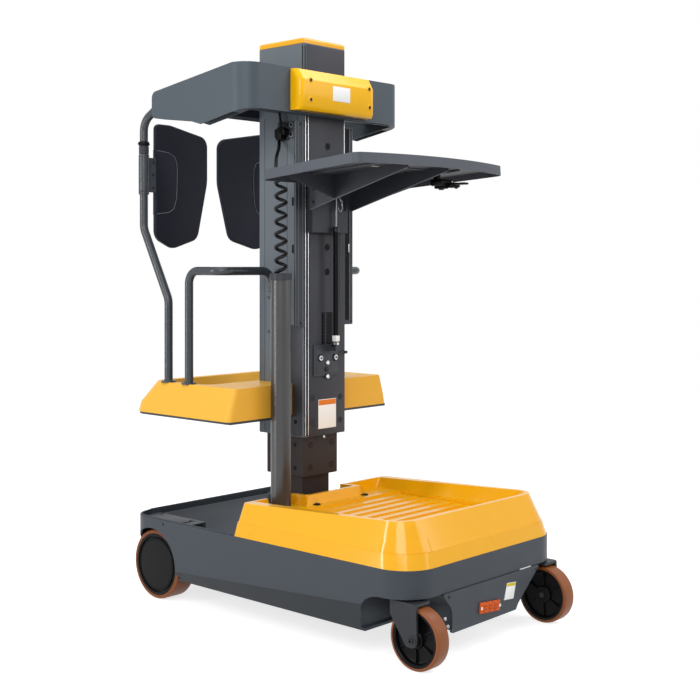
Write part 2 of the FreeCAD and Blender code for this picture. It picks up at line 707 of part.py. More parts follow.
def bent_tube(points, bend, radius, wall):
    """Hollow round tube along a rounded path."""
    path = rounded_path(points, [bend] * (len(points) - 2))
    heading = (points[1] - points[0]).normalize()
    solids = []
    for r in (radius, radius - wall):
        ring = Part.Wire([Part.Circle(points[0], heading, r).toShape()])
        solids.append(path.makePipeShell([ring], True, True))
    return solids[0].cut(solids[1])


def shaped(name, shape):
    thing = doc.addObject("Part::Feature", name)
    thing.Shape = shape
    return thing


# Skirt and chassis

def chassis_shell():
    body = new_body("chassis_shell")
    outline = rectangle("-skirt_width / 2", "skirt_width / 2", "front_y", "front_y + skirt_length")
    radii = ["skirt_corner", "skirt_corner", "skirt_rear_corner", "skirt_rear_corner"]
    pad(body, polygon(body, "shell_outline", "XY", outline, "skirt_bottom", radii),
        "skirt_top - skirt_bottom")
    hollow_out(body, "shell_hollow", lambda f: lies_at(f, "Z", size("skirt_top")), "skirt_wall")
    # Sills along the skirt's foot, lower under the rear pan
    runs = [("front", "bulkhead_back", "pan_front_back - slide_gap", "sill_top"),
            ("rear", "pan_front_back - slide_gap", "cover_back", "pan_floor - pan_wall - slide_gap")]
    for name, start, end, top in runs:
        for side, sign in (("left", "-1"), ("right", "1")):
            sill = rectangle(sign + " * (skirt_width / 2 - skirt_wall / 2)",
                             sign + " * (skirt_width / 2 - skirt_wall - sill_width)",
                             "front_y + " + start, "front_y + " + end)
            pad(body, polygon(body, "sill_%s_%s" % (name, side), "XY", sill, "skirt_bottom"),
                "%s - skirt_bottom" % top)
    bulkhead = rectangle("-(skirt_width - skirt_wall) / 2", "(skirt_width - skirt_wall) / 2",
                         "front_y + bulkhead_back", "front_y + bulkhead_back + bulkhead_wall")
    pad(body, polygon(body, "bulkhead", "XY", bulkhead, "skirt_bottom"), "skirt_top - skirt_bottom")
    # The casters stand in the open space under the fascia
    arch = polygon(body, "caster_arch", "YZ", [
        ("front_y - skirt_wall", "skirt_bottom - skirt_wall"),
        ("front_y + arch_lip_back", "skirt_bottom - skirt_wall"),
        ("front_y + arch_lip_back", "skirt_bottom"),
        ("front_y + arch_back", "skirt_bottom + arch_lip_rise"),
        ("front_y + arch_back", "fascia_bottom - arch_shoulder_drop"),
        ("front_y + arch_back - arch_shoulder_run", "fascia_bottom"),
        ("front_y - skirt_wall", "fascia_bottom")], "-skirt_width / 2 - 1",
        [None, None, None, "arch_lip_round", "arch_round", "arch_top_round", None])
    pocket(body, arch, "skirt_width + 2")
    # Inside the skirt the floor plate stops short of the turning casters
    swing = rectangle("-skirt_width / 2 + skirt_wall", "skirt_width / 2 - skirt_wall", "front_y + skirt_wall",
                      "front_y + floor_back")
    pocket(body, polygon(body, "swing_space", "XY", swing, "skirt_bottom - 1"),
           "fascia_bottom - skirt_bottom")
    # Round arches over the drive wheels, open to the sides and the rear
    for side, start in (("left", "-skirt_width / 2 - 1"), ("right", COVER_HALF)):
        disc = circle(body, "arch_" + side, "YZ", "front_y + drive_back", "drive_radius",
                      "drive_radius + drive_arch", start)
        pocket(body, disc, "cover_width + 1")
    # The skirt's lower edge turns in, more at the front than at the rear
    for side, sign in (("left", "-1"), ("right", "1")):
        wedge = []
        for end, rise in (("front_y - 1", "bevel_front_rise"),
                          ("front_y + skirt_length + 1", "bevel_rear_rise")):
            wedge.append((end, [(sign + " * (skirt_width / 2 + 1)", "skirt_bottom - 1"),
                                (sign + " * (skirt_width / 2 + 1)", "skirt_bottom + " + rise),
                                (sign + " * (skirt_width / 2 - bevel_depth)", "skirt_bottom - 1")], None))
        loft(body, "bevel_" + side, "XZ", wedge, subtract=True)
    keep(body, "chassis_shell")


def front_panel():
    body = new_body("front_panel")
    top = "fascia_bottom - panel_gap"
    # Duct that runs back to the floor plate, clear of the turning casters
    low, high = "panel_bottom + duct_step", top + " - duct_step"
    duct = [(LEFT_SIDE + " + duct_in_left", low),
            (RIGHT_SIDE + " - foot_in_right - duct_step", low),
            (RIGHT_SIDE + " - top_in_right - 2 * duct_step", high),
            (LEFT_SIDE + " + top_in_left + 2 * duct_step", high),
            (LEFT_SIDE + " + duct_in_left", "panel_waist_height")]
    end = "floor_back - slide_gap"
    pad(body, polygon(body, "duct_outline", "XZ", duct, "front_y"), end)
    hollow_out(body, "duct_hollow", lambda f: lies_at(f, "Y", number("front_y + " + end)), "panel_wall")
    outline = [(LEFT_SIDE + " + foot_in_left", "panel_bottom"),
               (RIGHT_SIDE + " - foot_in_right", "panel_bottom + duct_step / 2"),
               (RIGHT_SIDE + " - knee_in_right", "panel_knee_height"),
               (RIGHT_SIDE + " - top_in_right", top),
               (LEFT_SIDE + " + top_in_left", top),
               (LEFT_SIDE + " + waist_in_left", "panel_waist_height"),
               (LEFT_SIDE + " + side_in_left", "panel_side_top"),
               (LEFT_SIDE + " + side_in_left", "panel_knee_height")]
    radii = ["panel_round", "panel_round", None, "panel_round / 2", "panel_round / 2", None, None, None]
    pad(body, polygon(body, "panel_outline", "XZ", outline, "front_y - panel_proud", radii),
        "panel_proud + panel_wall / 2")
    keep(body, "front_panel")


def battery():
    block = box("battery_block", "-battery_width / 2", "front_y + battery_back", "skirt_bottom + skirt_wall",
                "battery_width", "battery_length", "battery_height")
    keep(block, "battery_block")


def rear_pan():
    body = new_body("rear_pan")
    steps = 8
    lower = []
    upper = []
    # Quarter of an ellipse from the flat part up to the lip
    for k in range(steps + 1):
        turn = math.pi / 2 * k / steps
        across = "front_y + pan_curve_back + (pan_rear_back - pan_curve_back) * %.5f" % math.sin(turn)
        up = "pan_floor + (pan_lip - pan_floor) * %.5f" % (1 - math.cos(turn))
        lower.append((across, up + " - pan_wall"))
        upper.append((across + " - pan_wall * %.5f" % math.sin(turn), up))
    lower[-1] = ("front_y + pan_rear_back", "pan_lip")
    upper[-1] = ("front_y + pan_rear_back - pan_wall", "pan_lip")
    flat = [("front_y + pan_front_back", "pan_floor"), ("front_y + pan_front_back", "pan_floor - pan_wall")]
    profile = polygon(body, "pan_profile", "YZ", lower + upper[::-1] + flat,
                      "-skirt_width / 2 + skirt_wall + pan_wall")
    pad(body, profile, "skirt_width - 2 * (skirt_wall + pan_wall)")
    for side, start in (("left", "-skirt_width / 2"), ("right", COVER_HALF)):
        corner = polygon(body, "pan_corner_" + side, "YZ",
                         rectangle("front_y + cover_back - running_gap", "front_y + skirt_length",
                                   "skirt_bottom", "skirt_top"), start)
        pocket(body, corner, "cover_width")
    # Room for the foot of the mast
    foot = rectangle("-inner_half - running_gap", "inner_half + running_gap",
                     "front_y + pan_front_back - 1", "front_y + inner_back + inner_depth + running_gap")
    pocket(body, polygon(body, "pan_foot", "XY", foot, "skirt_bottom"), "skirt_top - skirt_bottom")
    keep(body, "rear_pan")


def wheel_covers():
    length = "skirt_length - skirt_wall - cover_back"
    for side, sign in (("left", -1), ("right", 1)):
        inner = COVER_HALF if sign > 0 else "-%s - pan_wall" % COVER_HALF
        wall = box("cover_wall_" + side, inner, "front_y + cover_back", "skirt_bottom + skirt_wall",
                   "pan_wall", length, "pan_lip - skirt_bottom - skirt_wall")
        start = COVER_HALF if sign > 0 else "-skirt_width / 2 + skirt_wall"
        lid = box("cover_lid_" + side, start, "front_y + cover_back", "pan_lip - pan_wall",
                  "cover_width - skirt_wall", length, "pan_wall")
        whole = fuse("cover_whole_" + side, wall, lid)
        # Round corner that follows the skirt
        centre_y = "front_y + skirt_length - skirt_rear_corner"
        corner = cylinder("cover_round_" + side, "Z", "%d * (skirt_width / 2 - skirt_rear_corner)" % sign,
                          centre_y, "skirt_bottom", "skirt_rear_corner - skirt_wall", "skirt_top")
        waste_x = "skirt_width / 2 - skirt_rear_corner" if sign > 0 else "-skirt_width / 2"
        waste = box("cover_waste_" + side, waste_x, centre_y, "skirt_bottom", "skirt_rear_corner",
                    "skirt_rear_corner", "skirt_top")
        trim = cut("cover_trim_" + side, waste, corner)
        keep(cut("wheel_cover_body_" + side, whole, trim), "wheel_cover_" + side)


# Load deck

def load_deck():
    body = new_body("load_deck")

    def band(side, front, rear):
        return rectangle("-skirt_width / 2 + deck_edge + %s" % side,
                         "skirt_width / 2 - deck_edge - (%s)" % side,
                         "front_y + deck_edge + %s" % front,
                         "front_y + deck_rear_back - (%s)" % rear)

    def rounds(front):
        return [front, front, "deck_rear_round", "deck_rear_round"]

    foot = band("0", "0", "0")
    belt = band("deck_belt_side", "deck_belt_front", "deck_lean_rear")
    step = band("deck_belt_side + deck_step", "deck_belt_front + deck_step", "deck_lean_rear + deck_step")
    top = band("deck_belt_side + deck_lean_side", "deck_belt_front + deck_lean_front", "2 * deck_lean_rear")
    loft(body, "deck_foot", "XY", [("skirt_top", foot, rounds("deck_foot_round")),
                                   ("deck_belt", belt, rounds("deck_belt_round"))])
    loft(body, "deck_wall", "XY", [("deck_belt", step, rounds("deck_belt_round")),
                                   ("deck_top_front", top, rounds("deck_top_round"))])
    # The rim falls away to the rear
    fall = [("front_y + bay_front_back", "deck_top_front"),
            ("front_y + deck_rear_back", "deck_top_rear"),
            ("front_y + deck_rear_back", "deck_top_front + 1"),
            ("front_y + bay_front_back", "deck_top_front + 1")]
    pocket(body, polygon(body, "rim_fall", "YZ", fall, "-skirt_width / 2"), "skirt_width")

    # Cargo bay with leaning walls, and a wall left standing round the mast's pocket
    def bay(half, front, rear, saddle_half, saddle):
        right = [(half, front), (half, rear), (saddle_half, rear), (saddle_half, saddle)]
        return right + [("-(%s)" % x, y) for x, y in reversed(right)]

    def bay_rounds(front):
        right = [front] + ["bay_rear_round"] * 3
        return right + right[::-1]

    rear = "front_y + bay_rear_back"
    foot_bay = bay("bay_foot_half", "front_y + bay_foot_back", rear, "saddle_foot_half",
                   "front_y + saddle_foot_back")
    rim_bay = bay("bay_half", "front_y + bay_front_back", rear, "saddle_half", "front_y + saddle_back")
    loft(body, "bay", "XY", [("deck_ledge", foot_bay, bay_rounds("bay_foot_round")),
                             ("deck_top_front + 1", rim_bay, bay_rounds("bay_round"))], subtract=True)
    floor = rectangle("-bay_foot_half + cargo_inset", "bay_foot_half - cargo_inset",
                      "front_y + bay_foot_back + cargo_inset", "front_y + deck_ledge_back")
    cargo_rounds = ["cargo_round", "cargo_round", "bay_rear_round", "bay_rear_round"]
    pocket(body, polygon(body, "cargo_floor", "XY", floor, "deck_floor", cargo_rounds),
           "deck_ledge - deck_floor")
    # Ribs across the cargo floor
    rib = rectangle("-rib_half_length", "rib_half_length", "front_y + rib_first_back",
                    "front_y + rib_first_back + rib_width")
    first = pad(body, polygon(body, "rib", "XY", rib, "deck_floor"), "rib_height")
    doc.recompute()
    ribs = body.newObject("PartDesign::LinearPattern", "ribs")
    ribs.Originals = [first]
    ribs.Direction = ([f for f in body.Origin.OriginFeatures if f.Role == "Y_Axis"][0], [""])
    bind(ribs, "Length", "(rib_count - 1) * rib_pitch")
    bind(ribs, "Occurrences", "rib_count")
    body.Tip = ribs
    # Pocket for the mast
    pocket_half = "saddle_half - saddle_wall"
    mast = rectangle("-(%s)" % pocket_half, pocket_half, "front_y + saddle_back + saddle_wall",
                     "front_y + deck_rear_back + 1")
    pocket(body, polygon(body, "mast_pocket", "XY", mast, "skirt_top - 1"), "deck_top_front")

    # Hollow underside, its rims hollow too
    under = bay("skirt_width / 2 - deck_edge - under_inset", "front_y + deck_edge + under_inset",
                rear + " + deck_step", "saddle_foot_half + rim_wall",
                "front_y + saddle_foot_back - deck_skin")
    under_rounds = ["deck_foot_round - under_inset"] + ["bay_rear_round"] * 3
    pocket(body, polygon(body, "deck_under", "XY", under, "skirt_top - 1", under_rounds + under_rounds[::-1]),
           "deck_floor - deck_skin - skirt_top + 1")
    start_z = "deck_floor - deck_skin - 1"
    for side, sign in (("left", "-1"), ("right", "1")):
        top_z = "deck_top_rear - 1.5 * rim_wall"
        channel = [("bay_foot_half + rim_wall", start_z), ("bay_foot_half + rim_wall", "deck_ledge"),
                   ("bay_foot_half + 2 * rim_wall", top_z),
                   ("skirt_width / 2 - deck_edge - deck_belt_side - deck_lean_side / 2 - rim_wall", top_z),
                   ("skirt_width / 2 - deck_edge - deck_belt_side - 2 * rim_wall", start_z)]
        channel = [("%s * (%s)" % (sign, x), z) for x, z in channel]
        pocket(body, polygon(body, "rim_channel_" + side, "XZ", channel,
                             "front_y + bay_foot_back + bay_foot_round"),
               "bay_rear_back - bay_foot_back - bay_foot_round")
    top_z = "deck_top_front - 3 * rim_wall"
    channel = [("deck_edge + deck_belt_front + 2 * rim_wall", start_z),
               ("deck_edge + deck_belt_front + 0.75 * deck_lean_front + rim_wall", top_z),
               ("(bay_front_back + bay_foot_back) / 2 - 1.5 * rim_wall", top_z),
               ("bay_foot_back - rim_wall", "deck_ledge"), ("bay_foot_back - rim_wall", start_z)]
    channel = [("front_y + " + y, z) for y, z in channel]
    pocket(body, polygon(body, "rim_channel_front", "YZ", channel, "-bay_foot_half + bay_foot_round"),
           "2 * (bay_foot_half - bay_foot_round)")

    # Notch in the rear rim, and a hole, where the conduit stands
    notch_half = "conduit_radius + notch_gap"
    notch = [("conduit_x - (%s)" % notch_half, "deck_ledge"), ("conduit_x + %s" % notch_half, "deck_ledge"),
             ("conduit_x + %s + notch_flare" % notch_half, "deck_top_front"),
             ("conduit_x - (%s) - notch_flare" % notch_half, "deck_top_front")]
    pocket(body, polygon(body, "conduit_notch", "XZ", notch, "front_y + bay_rear_back - rim_wall"),
           "deck_rear_back - bay_rear_back + rim_wall + 1")
    hole = circle(body, "conduit_hole", "XY", "conduit_x", "front_y + conduit_back",
                  "conduit_radius + slide_gap", "skirt_top - 1")
    pocket(body, hole, "deck_top_front - skirt_top")
    keep(body, "load_deck")


# Mast

def slide_pads(name, half, front, depth, gap, z):
    """Pads on the four sides of a stage, out to the next stage's inner faces."""
    pads = []
    mid = "front_y + %s + %s / 2" % (front, depth)
    for side, x in (("left", "-%s - (%s)" % (half, gap)), ("right", half)):
        pads.append(box("%s_%s" % (name, side), x, mid + " - pad_width / 2", z, gap, "pad_width",
                        "pad_height"))
    return pads


def mast_inner():
    outside = box("inner_outside", "-inner_half", "front_y + inner_back", "skirt_bottom + skirt_wall",
                  "2 * inner_half", "inner_depth", "inner_top - skirt_bottom - skirt_wall")
    inside = box("inner_inside", "-inner_half + inner_wall", "front_y + inner_back + inner_wall",
                 "skirt_bottom + 2 * skirt_wall", "2 * (inner_half - inner_wall)",
                 "inner_depth - 2 * inner_wall", "inner_top")
    tube = cut("inner_tube", outside, inside)
    gap = "middle_half - middle_wall - inner_half - slide_gap"
    pads = slide_pads("inner_pad", "inner_half", "inner_back", "inner_depth", gap,
                      "inner_top - pad_inset - pad_height")
    keep(fuse("mast_inner_body", tube, *pads), "mast_inner")


def mast_middle():
    outside = box("middle_outside", "-middle_half", "front_y + middle_back", "middle_bottom",
                  "2 * middle_half", "middle_depth", "middle_length")
    inside = box("middle_inside", "-middle_half + middle_wall", "front_y + middle_back + middle_wall",
                 "middle_bottom - 1", "2 * (middle_half - middle_wall)", "middle_depth - 2 * middle_wall",
                 "middle_length + 2")
    tube = cut("middle_tube", outside, inside)
    gap = "outer_half - outer_wall - middle_half - slide_gap"
    pads = slide_pads("middle_pad", "middle_half", "middle_back", "middle_depth", gap,
                      "middle_bottom + middle_length - pad_inset - pad_height")
    keep(fuse("mast_middle_body", tube, *pads), "mast_middle")


def mast_outer():
    outside = box("outer_outside", "-outer_half", "front_y + outer_back", "outer_bottom",
                  "2 * outer_half", "outer_depth", "outer_top - outer_bottom")
    inside = box("outer_inside", "-outer_half + outer_wall", "front_y + outer_back + outer_wall",
                 "outer_bottom - 1", "2 * (outer_half - outer_wall)", "outer_depth - 2 * outer_wall",
                 "outer_top - outer_bottom + 2")
    keep(cut("mast_outer_body", outside, inside), "mast_outer")
    cap = new_body("mast_cap")
    outline = rectangle("-outer_half", "outer_half", "front_y + outer_back", MAST_REAR)
    pad(cap, polygon(cap, "cap_outline", "XY", outline, "outer_top"), "cap_height")
    top = size("outer_top") + size("cap_height")
    round_edges(cap, "cap_rim", lambda e: e.BoundBox.ZMin > top - 0.01, "cap_round")
    keep(cap, "mast_cap")


def tray_guides():
    for side, x in (("left", "-guide_half"), ("right", "outer_half")):
        strip = box("guide_strip_" + side, x, "front_y + outer_back", "guide_bottom",
                    "guide_half - outer_half", "guide_wall", "guide_top - guide_bottom")
        flange_x = "-outer_half - guide_wall" if side == "left" else "outer_half"
        flange = box("guide_flange_" + side, flange_x, "front_y + outer_back", "guide_bottom",
                     "guide_wall", "5 * guide_wall", "guide_top - guide_bottom")
        keep(fuse("guide_body_" + side, strip, flange), "tray_guide_" + side)
    keep(box("rack_strip", "-rack_half", "front_y + outer_back - rack_wall", "rack_bottom",
             "2 * rack_half", "rack_wall", "rack_top - rack_bottom"), "locking_rack")


def conduit():
    y = "front_y + conduit_back"
    inner = "conduit_radius - conduit_wall"
    tube = cylinder("conduit_outside", "Z", "conduit_x", y, "skirt_bottom + skirt_wall", "conduit_radius",
                    "conduit_top - skirt_bottom - skirt_wall")
    bore = cylinder("conduit_inside", "Z", "conduit_x", y, "coil_bottom", inner, "conduit_top")
    keep(cut("conduit_tube", tube, bore), "cable_conduit")
    ring = cylinder("collar_outside", "Z", "conduit_x", y, "conduit_top", "conduit_radius + collar_wall",
                    "collar_height")
    hole = cylinder("collar_inside", "Z", "conduit_x", y, "conduit_top - 1", inner, "collar_height + 2")
    keep(cut("collar_ring", ring, hole), "conduit_collar")
    keep(cylinder("coil_form", "Z", "conduit_x", y, "coil_bottom", "coil_radius", "coil_top - coil_bottom"),
         "curly_cord")


def bend_radii(points):
    """Radius of the arc at each inner point that takes less than half of its shorter run."""
    radii = []
    for before, corner, after in zip(points, points[1:], points[2:]):
        inward = before - corner
        outward = after - corner
        half_turn = (math.pi - inward.getAngle(outward)) / 2
        radii.append(CORD_BEND_SHARE * min(inward.Length, outward.Length) / math.tan(half_turn))
    return radii


def cord_lead():
    """Straight end of the cord, from the coil's top to the plug."""
    points = [Vector(x, size("front_y") + back_by, z) for x, back_by, z in LEAD_POINTS]
    radii = bend_radii(points)
    print("cord_lead bend radii: " + ", ".join("%.1f" % r for r in radii))
    path = rounded_path(points, radii)
    heading = (points[1] - points[0]).normalize()
    ring = Part.Wire([Part.Circle(points[0], heading, size("lead_radius")).toShape()])
    lead = path.makePipeShell([ring], True, True)
    # The plug block's underside ends it
    side = 4 * size("coil_radius")
    above = Part.makeBox(side, side, side, points[-1] - Vector(side / 2, side / 2, 0))
    above.translate(UP * (size("plug_bottom") - points[-1].z))
    keep(shaped("lead_form", lead.cut(above)), "cord_lead")


# Platform

def platform():
    body = new_body("platform_shell")

    def outline(side, rear):
        return rectangle("-platform_half + %s" % side, "platform_half - (%s)" % side,
                         "front_y + platform_back", "front_y + platform_rear_back - (%s)" % rear)

    foot = outline("0", "0")
    belt = outline("platform_belt_lean", "platform_belt_lean")
    top = outline("platform_belt_lean + platform_side_lean", "platform_belt_lean + platform_rear_lean")
    radii = ["platform_front_round", "platform_front_round", "platform_round", "platform_round"]
    loft(body, "platform_foot", "XY", [("platform_bottom", foot, radii), (PLATFORM_BELT, belt, radii)])
    loft(body, "platform_wall", "XY", [(PLATFORM_BELT, belt, radii), (PLATFORM_TOP, top, radii)])
    # Standing tub behind the mast
    side_in = "platform_belt_lean + platform_side_lean + platform_rim"
    rear_in = "platform_belt_lean + platform_rear_lean + platform_rim"

    def tub(inset):
        return rectangle("-platform_half + %s + %s" % (side_in, inset),
                         "platform_half - (%s) - (%s)" % (side_in, inset),
                         "front_y + tub_front_back + %s" % inset,
                         "front_y + platform_rear_back - (%s) - (%s)" % (rear_in, inset))

    tub_rounds = ["tub_round"] * 4
    loft(body, "tub", "XY", [(PLATFORM_FLOOR, tub("tub_lean"), tub_rounds),
                             (PLATFORM_TOP + " + 1", tub("0"), tub_rounds)], subtract=True)
    # The mast passes through the front
    mast = rectangle("-outer_half", "outer_half", "front_y + platform_back - 1", MAST_REAR)
    pocket(body, polygon(body, "platform_notch", "XY", mast, "platform_bottom - 1"), PLATFORM_TOP)
    platform_hollows(body)
    keep(body, "platform_shell")

    mat = new_body("floor_mat")
    mat_rounds = ["tub_round - mat_inset"] * 4
    pad(mat, polygon(mat, "mat_outline", "XY", tub("tub_lean + mat_inset"), PLATFORM_FLOOR, mat_rounds),
        "mat_height")
    keep(mat, "floor_mat")


def platform_hollows(body):
    """Open the platform's shell from below: beside the mast, under the floor and in its rims."""
    low = "platform_bottom - 1"
    tub_half = "platform_half - platform_belt_lean - platform_side_lean - platform_rim - tub_lean"
    tub_rear = "platform_rear_back - platform_belt_lean - platform_rear_lean - platform_rim - tub_lean"
    front = "front_y + platform_back + rim_wall"
    floor = rectangle("-(%s) + rim_wall" % tub_half, "%s - rim_wall" % tub_half,
                      "front_y + tub_front_back + tub_lean + rim_wall", "front_y + %s - rim_wall" % tub_rear)
    pocket(body, polygon(body, "floor_hollow", "XY", floor, low), "platform_floor_rise - rim_wall + 1")
    for side, sign in (("left", "-1"), ("right", "1")):
        far_side = "platform_half - platform_belt_lean - platform_side_lean - 2 * rim_wall"
        beside = rectangle(sign + " * (outer_half + rim_wall)", "%s * (%s)" % (sign, far_side),
                           front, "front_y + tub_front_back - rim_wall")
        pocket(body, polygon(body, "mast_side_hollow_" + side, "XY", beside, low),
               "%s - rim_wall - (%s)" % (PLATFORM_TOP, low))
        high = PLATFORM_TOP + " - 2 * rim_wall"
        rim = [("%s + rim_wall" % tub_half, low), ("%s + 0.8 * tub_lean + rim_wall" % tub_half, high),
               ("platform_half - platform_belt_lean - 0.8 * platform_side_lean - 1.2 * rim_wall", high),
               ("platform_half - platform_belt_lean - rim_wall", PLATFORM_BELT),
               ("platform_half - rim_wall", low)]
        rim = [("%s * (%s)" % (sign, x), z) for x, z in rim]
        pocket(body, polygon(body, "rim_hollow_" + side, "XZ", rim, front),
               "platform_rear_back - platform_back - platform_rear_lean - platform_round + rim_wall / 2")
    high = PLATFORM_TOP + " - 4 * rim_wall"
    rim = [("%s + rim_wall" % tub_rear, low), ("%s + 0.6 * tub_lean + rim_wall" % tub_rear, high),
           ("platform_rear_back - platform_belt_lean - 0.55 * platform_rear_lean - 1.4 * rim_wall", high),
           ("platform_rear_back - platform_belt_lean - 1.4 * rim_wall", PLATFORM_BELT),
           ("platform_rear_back - 1.4 * rim_wall", low)]
    rim = [("front_y + " + y, z) for y, z in rim]
    half = "platform_half - platform_belt_lean - platform_side_lean - platform_round"
    pocket(body, polygon(body, "rim_hollow_rear", "YZ", rim, "-(%s)" % half), "2 * (%s)" % half)


def platform_base():
    """Dark plate under the platform, its rear corners round."""
    plate = new_body("platform_base")
    half = "platform_half - platform_belt_lean"
    front = "front_y + platform_back + base_inset"
    rear = "front_y + platform_rear_back - base_inset"
    outline = [("-(%s)" % half, front), ("-outer_half", front), ("-outer_half", MAST_REAR),
               ("outer_half", MAST_REAR), ("outer_half", front), (half, front),
               (half, rear), ("-(%s)" % half, rear)]
    radii = [None] * 6 + ["platform_round - platform_belt_lean"] * 2
    pad(plate, polygon(plate, "base_plate_outline", "XY", outline, "platform_bottom - base_plate", radii),
        "base_plate")
    keep(plate, "platform_base")


def posts_and_rails():
    foot = number(PLATFORM_TOP)
    rail_z = size("rail_height")
    for side, sign in (("left", -1), ("right", 1)):
        x = sign * size("post_x")
        post = [Vector(x, back("post_foot_back"), foot), Vector(x, back("post_foot_back"), size("post_knee")),
                Vector(x, back("post_back"), size("post_elbow")),
                Vector(x, back("post_back"), size("post_shoulder")),
                Vector(x, back("post_end_back"), size("post_end"))]
        post_tube = bent_tube(post, size("post_bend"), size("tube_radius"), size("tube_wall"))
        keep(shaped("post_tube_" + side, post_tube), "post_" + side)
        near = sign * (size("outer_half") + size("tube_radius"))
        rail = [Vector(x, back("rail_back"), foot), Vector(x, back("rail_back"), rail_z),
                Vector(x, back("rail_front_back"), rail_z), Vector(near, back("rail_front_back"), rail_z),
                Vector(near, back("rail_front_back"), size("rail_foot"))]
        rail_tube = bent_tube(rail, size("rail_bend"), size("tube_radius"), size("tube_wall"))
        keep(shaped("rail_tube_" + side, rail_tube), "rail_" + side)


# Console band

def console_band():
    body = new_body("console_band")
    outside = rectangle("-band_half", "band_half", "front_y + band_back", "front_y + band_end_back")
    pad(body, polygon(body, "band_outline", "XY", outside, "band_low"), "band_front_top - band_low")
    front = back("band_back")
    round_edges(body, "band_corners", lambda e: is_along(e, UP) and abs(middle(e).y - front) < 0.1,
                "band_round")
    above = [("front_y + band_back + band_round", "band_front_top"),
             ("front_y + band_end_back", "band_rear_top"),
             ("front_y + band_end_back", "band_front_top + 1"),
             ("front_y + band_back + band_round", "band_front_top + 1")]
    pocket(body, polygon(body, "band_above", "YZ", above, "-band_half - 1"), "2 * band_half + 2")
    below = [("front_y + band_back - 1", "band_front_bottom"),
             ("front_y + band_back + band_wall", "band_front_bottom"),
             ("front_y + band_low_back", "band_low"), ("front_y + band_knee_back", "band_knee"),
             ("front_y + band_end_back", "band_rear_bottom"), ("front_y + band_end_back + 1", "band_low - 1"),
             ("front_y + band_back - 1", "band_low - 1")]
    pocket(body, polygon(body, "band_below", "YZ", below, "-band_half - 1"), "2 * band_half + 2")
    end = back("band_end_back")
    round_edges(body, "band_ends", lambda e: is_along(e, ACROSS) and abs(middle(e).y - end) < 0.1,
                "band_round / 3")
    # The two arms and the front are channels that are open below
    inside = rectangle("-band_half + band_arm", "band_half - band_arm", "front_y + band_back + band_depth",
                       "front_y + band_end_back + 1")
    pocket(body, polygon(body, "band_inside", "XY", inside, "band_low - 1"), "band_front_top - band_low + 2")
    cavity = [("front_y + band_back + band_round", "band_low - 1"),
              ("front_y + band_back + band_round", "band_front_top - band_wall"),
              ("front_y + band_end_back - band_round / 3", "band_rear_top - band_wall"),
              ("front_y + band_end_back - band_round / 3", "band_low - 1")]
    for side, start in (("left", "-band_half + band_wall"), ("right", "band_half - band_arm + band_wall")):
        pocket(body, polygon(body, "arm_cavity_" + side, "YZ", cavity, start), "band_arm - 2 * band_wall")
    trough = rectangle("-band_half + band_round", "band_half - band_round", "band_low - 1",
                       "band_front_top - band_wall")
    pocket(body, polygon(body, "front_cavity", "XZ", trough, "front_y + band_back + band_wall"),
           "band_depth - 2 * band_wall")
    keep(body, "console_band")

    shelf = new_body("band_shelf")
    plate = [("-band_half + band_arm", "front_y + band_back + band_depth"),
             ("band_half - band_arm", "front_y + band_back + band_depth"),
             ("band_half - band_arm", "front_y + shelf_rear_back"),
             ("outer_half", "front_y + shelf_rear_back"), ("outer_half", "front_y + outer_back"),
             ("-outer_half", "front_y + outer_back"), ("-outer_half", "front_y + shelf_rear_back"),
             ("-band_half + band_arm", "front_y + shelf_rear_back")]
    pad(shelf, polygon(shelf, "shelf_plate", "XY", plate, "shelf_height"), "shelf_wall")
    keep(shelf, "band_shelf")


def capacity_box():
    """Yellow box on the band's front, its corners round and its upper edge leaning."""
    body = new_body("capacity_box")
    corner = "box_round"

    def outline(depth):
        return rectangle("-box_half", "box_half", "front_y + band_back - (%s)" % depth, "front_y + band_back")

    sections = []
    for z, depth in (("box_bottom", "box_depth - box_top_depth / 3"), ("box_face_bottom", "box_depth"),
                     ("box_face_top", "box_depth"), ("box_top", "box_top_depth")):
        front = corner if depth != "box_top_depth" else corner + " * 0.8"
        sections.append((z, outline(depth), [front, front, None, None]))
    loft(body, "box_form", "XY", sections)
    keep(body, "capacity_box")


def operator_console():
    body = new_body("operator_console")
    rear = MAST_REAR + " + dash_depth"
    profile = [(MAST_REAR, "dash_bottom"), (rear + " - dash_toe_depth", "dash_bottom"),
               (rear, "dash_bottom + dash_toe_height"), (rear, "dash_rear_top"),
               (MAST_REAR, "dash_front_top")]
    pad(body, polygon(body, "dash_profile", "YZ", profile, "-dash_half"), "2 * dash_half")
    keep(body, "operator_console")
    doc.recompute()
    y = number(MAST_REAR + " + dash_depth / 2")
    low = number("(dash_front_top + dash_rear_top) / 2")
    grips = []
    for side, sign in (("left", -1), ("right", 1)):
        x0 = sign * size("grip_x") - size("grip_half")
        x1 = sign * size("grip_x") + size("grip_half")
        high = low + size("grip_height")
        root = low - size("grip_radius")
        path = [Vector(x0, y, root), Vector(x0, y, high), Vector(x1, y, high), Vector(x1, y, root)]
        bow = bent_tube(path, size("grip_bend"), size("grip_radius"), size("grip_wall")).cut(body.Shape)
        grips.append(shaped("grip_bow_" + side, bow))
    keep(group("grip_pair", *grips), "operator_grips")


# Gates

def gate_panel(side, sign):
    body = new_body("gate_form_" + side)
    points = [("%d * (gate_edge + gate_width * %.3f)" % (-sign, out), "gate_bottom + gate_height * %.3f" % up)
              for out, up, _ in GATE_OUTLINE]
    radii = ["gate_height * %.3f" % corner for _, _, corner in GATE_OUTLINE]
    if sign > 0:
        points, radii = points[::-1], radii[::-1]
    pad(body, polygon(body, "gate_outline_" + side, "XZ", points, "-gate_wall / 2", radii), "gate_wall")
    round_edges(body, "gate_rims_" + side, lambda e: e.BoundBox.YLength < 0.01, "gate_round")
    return body


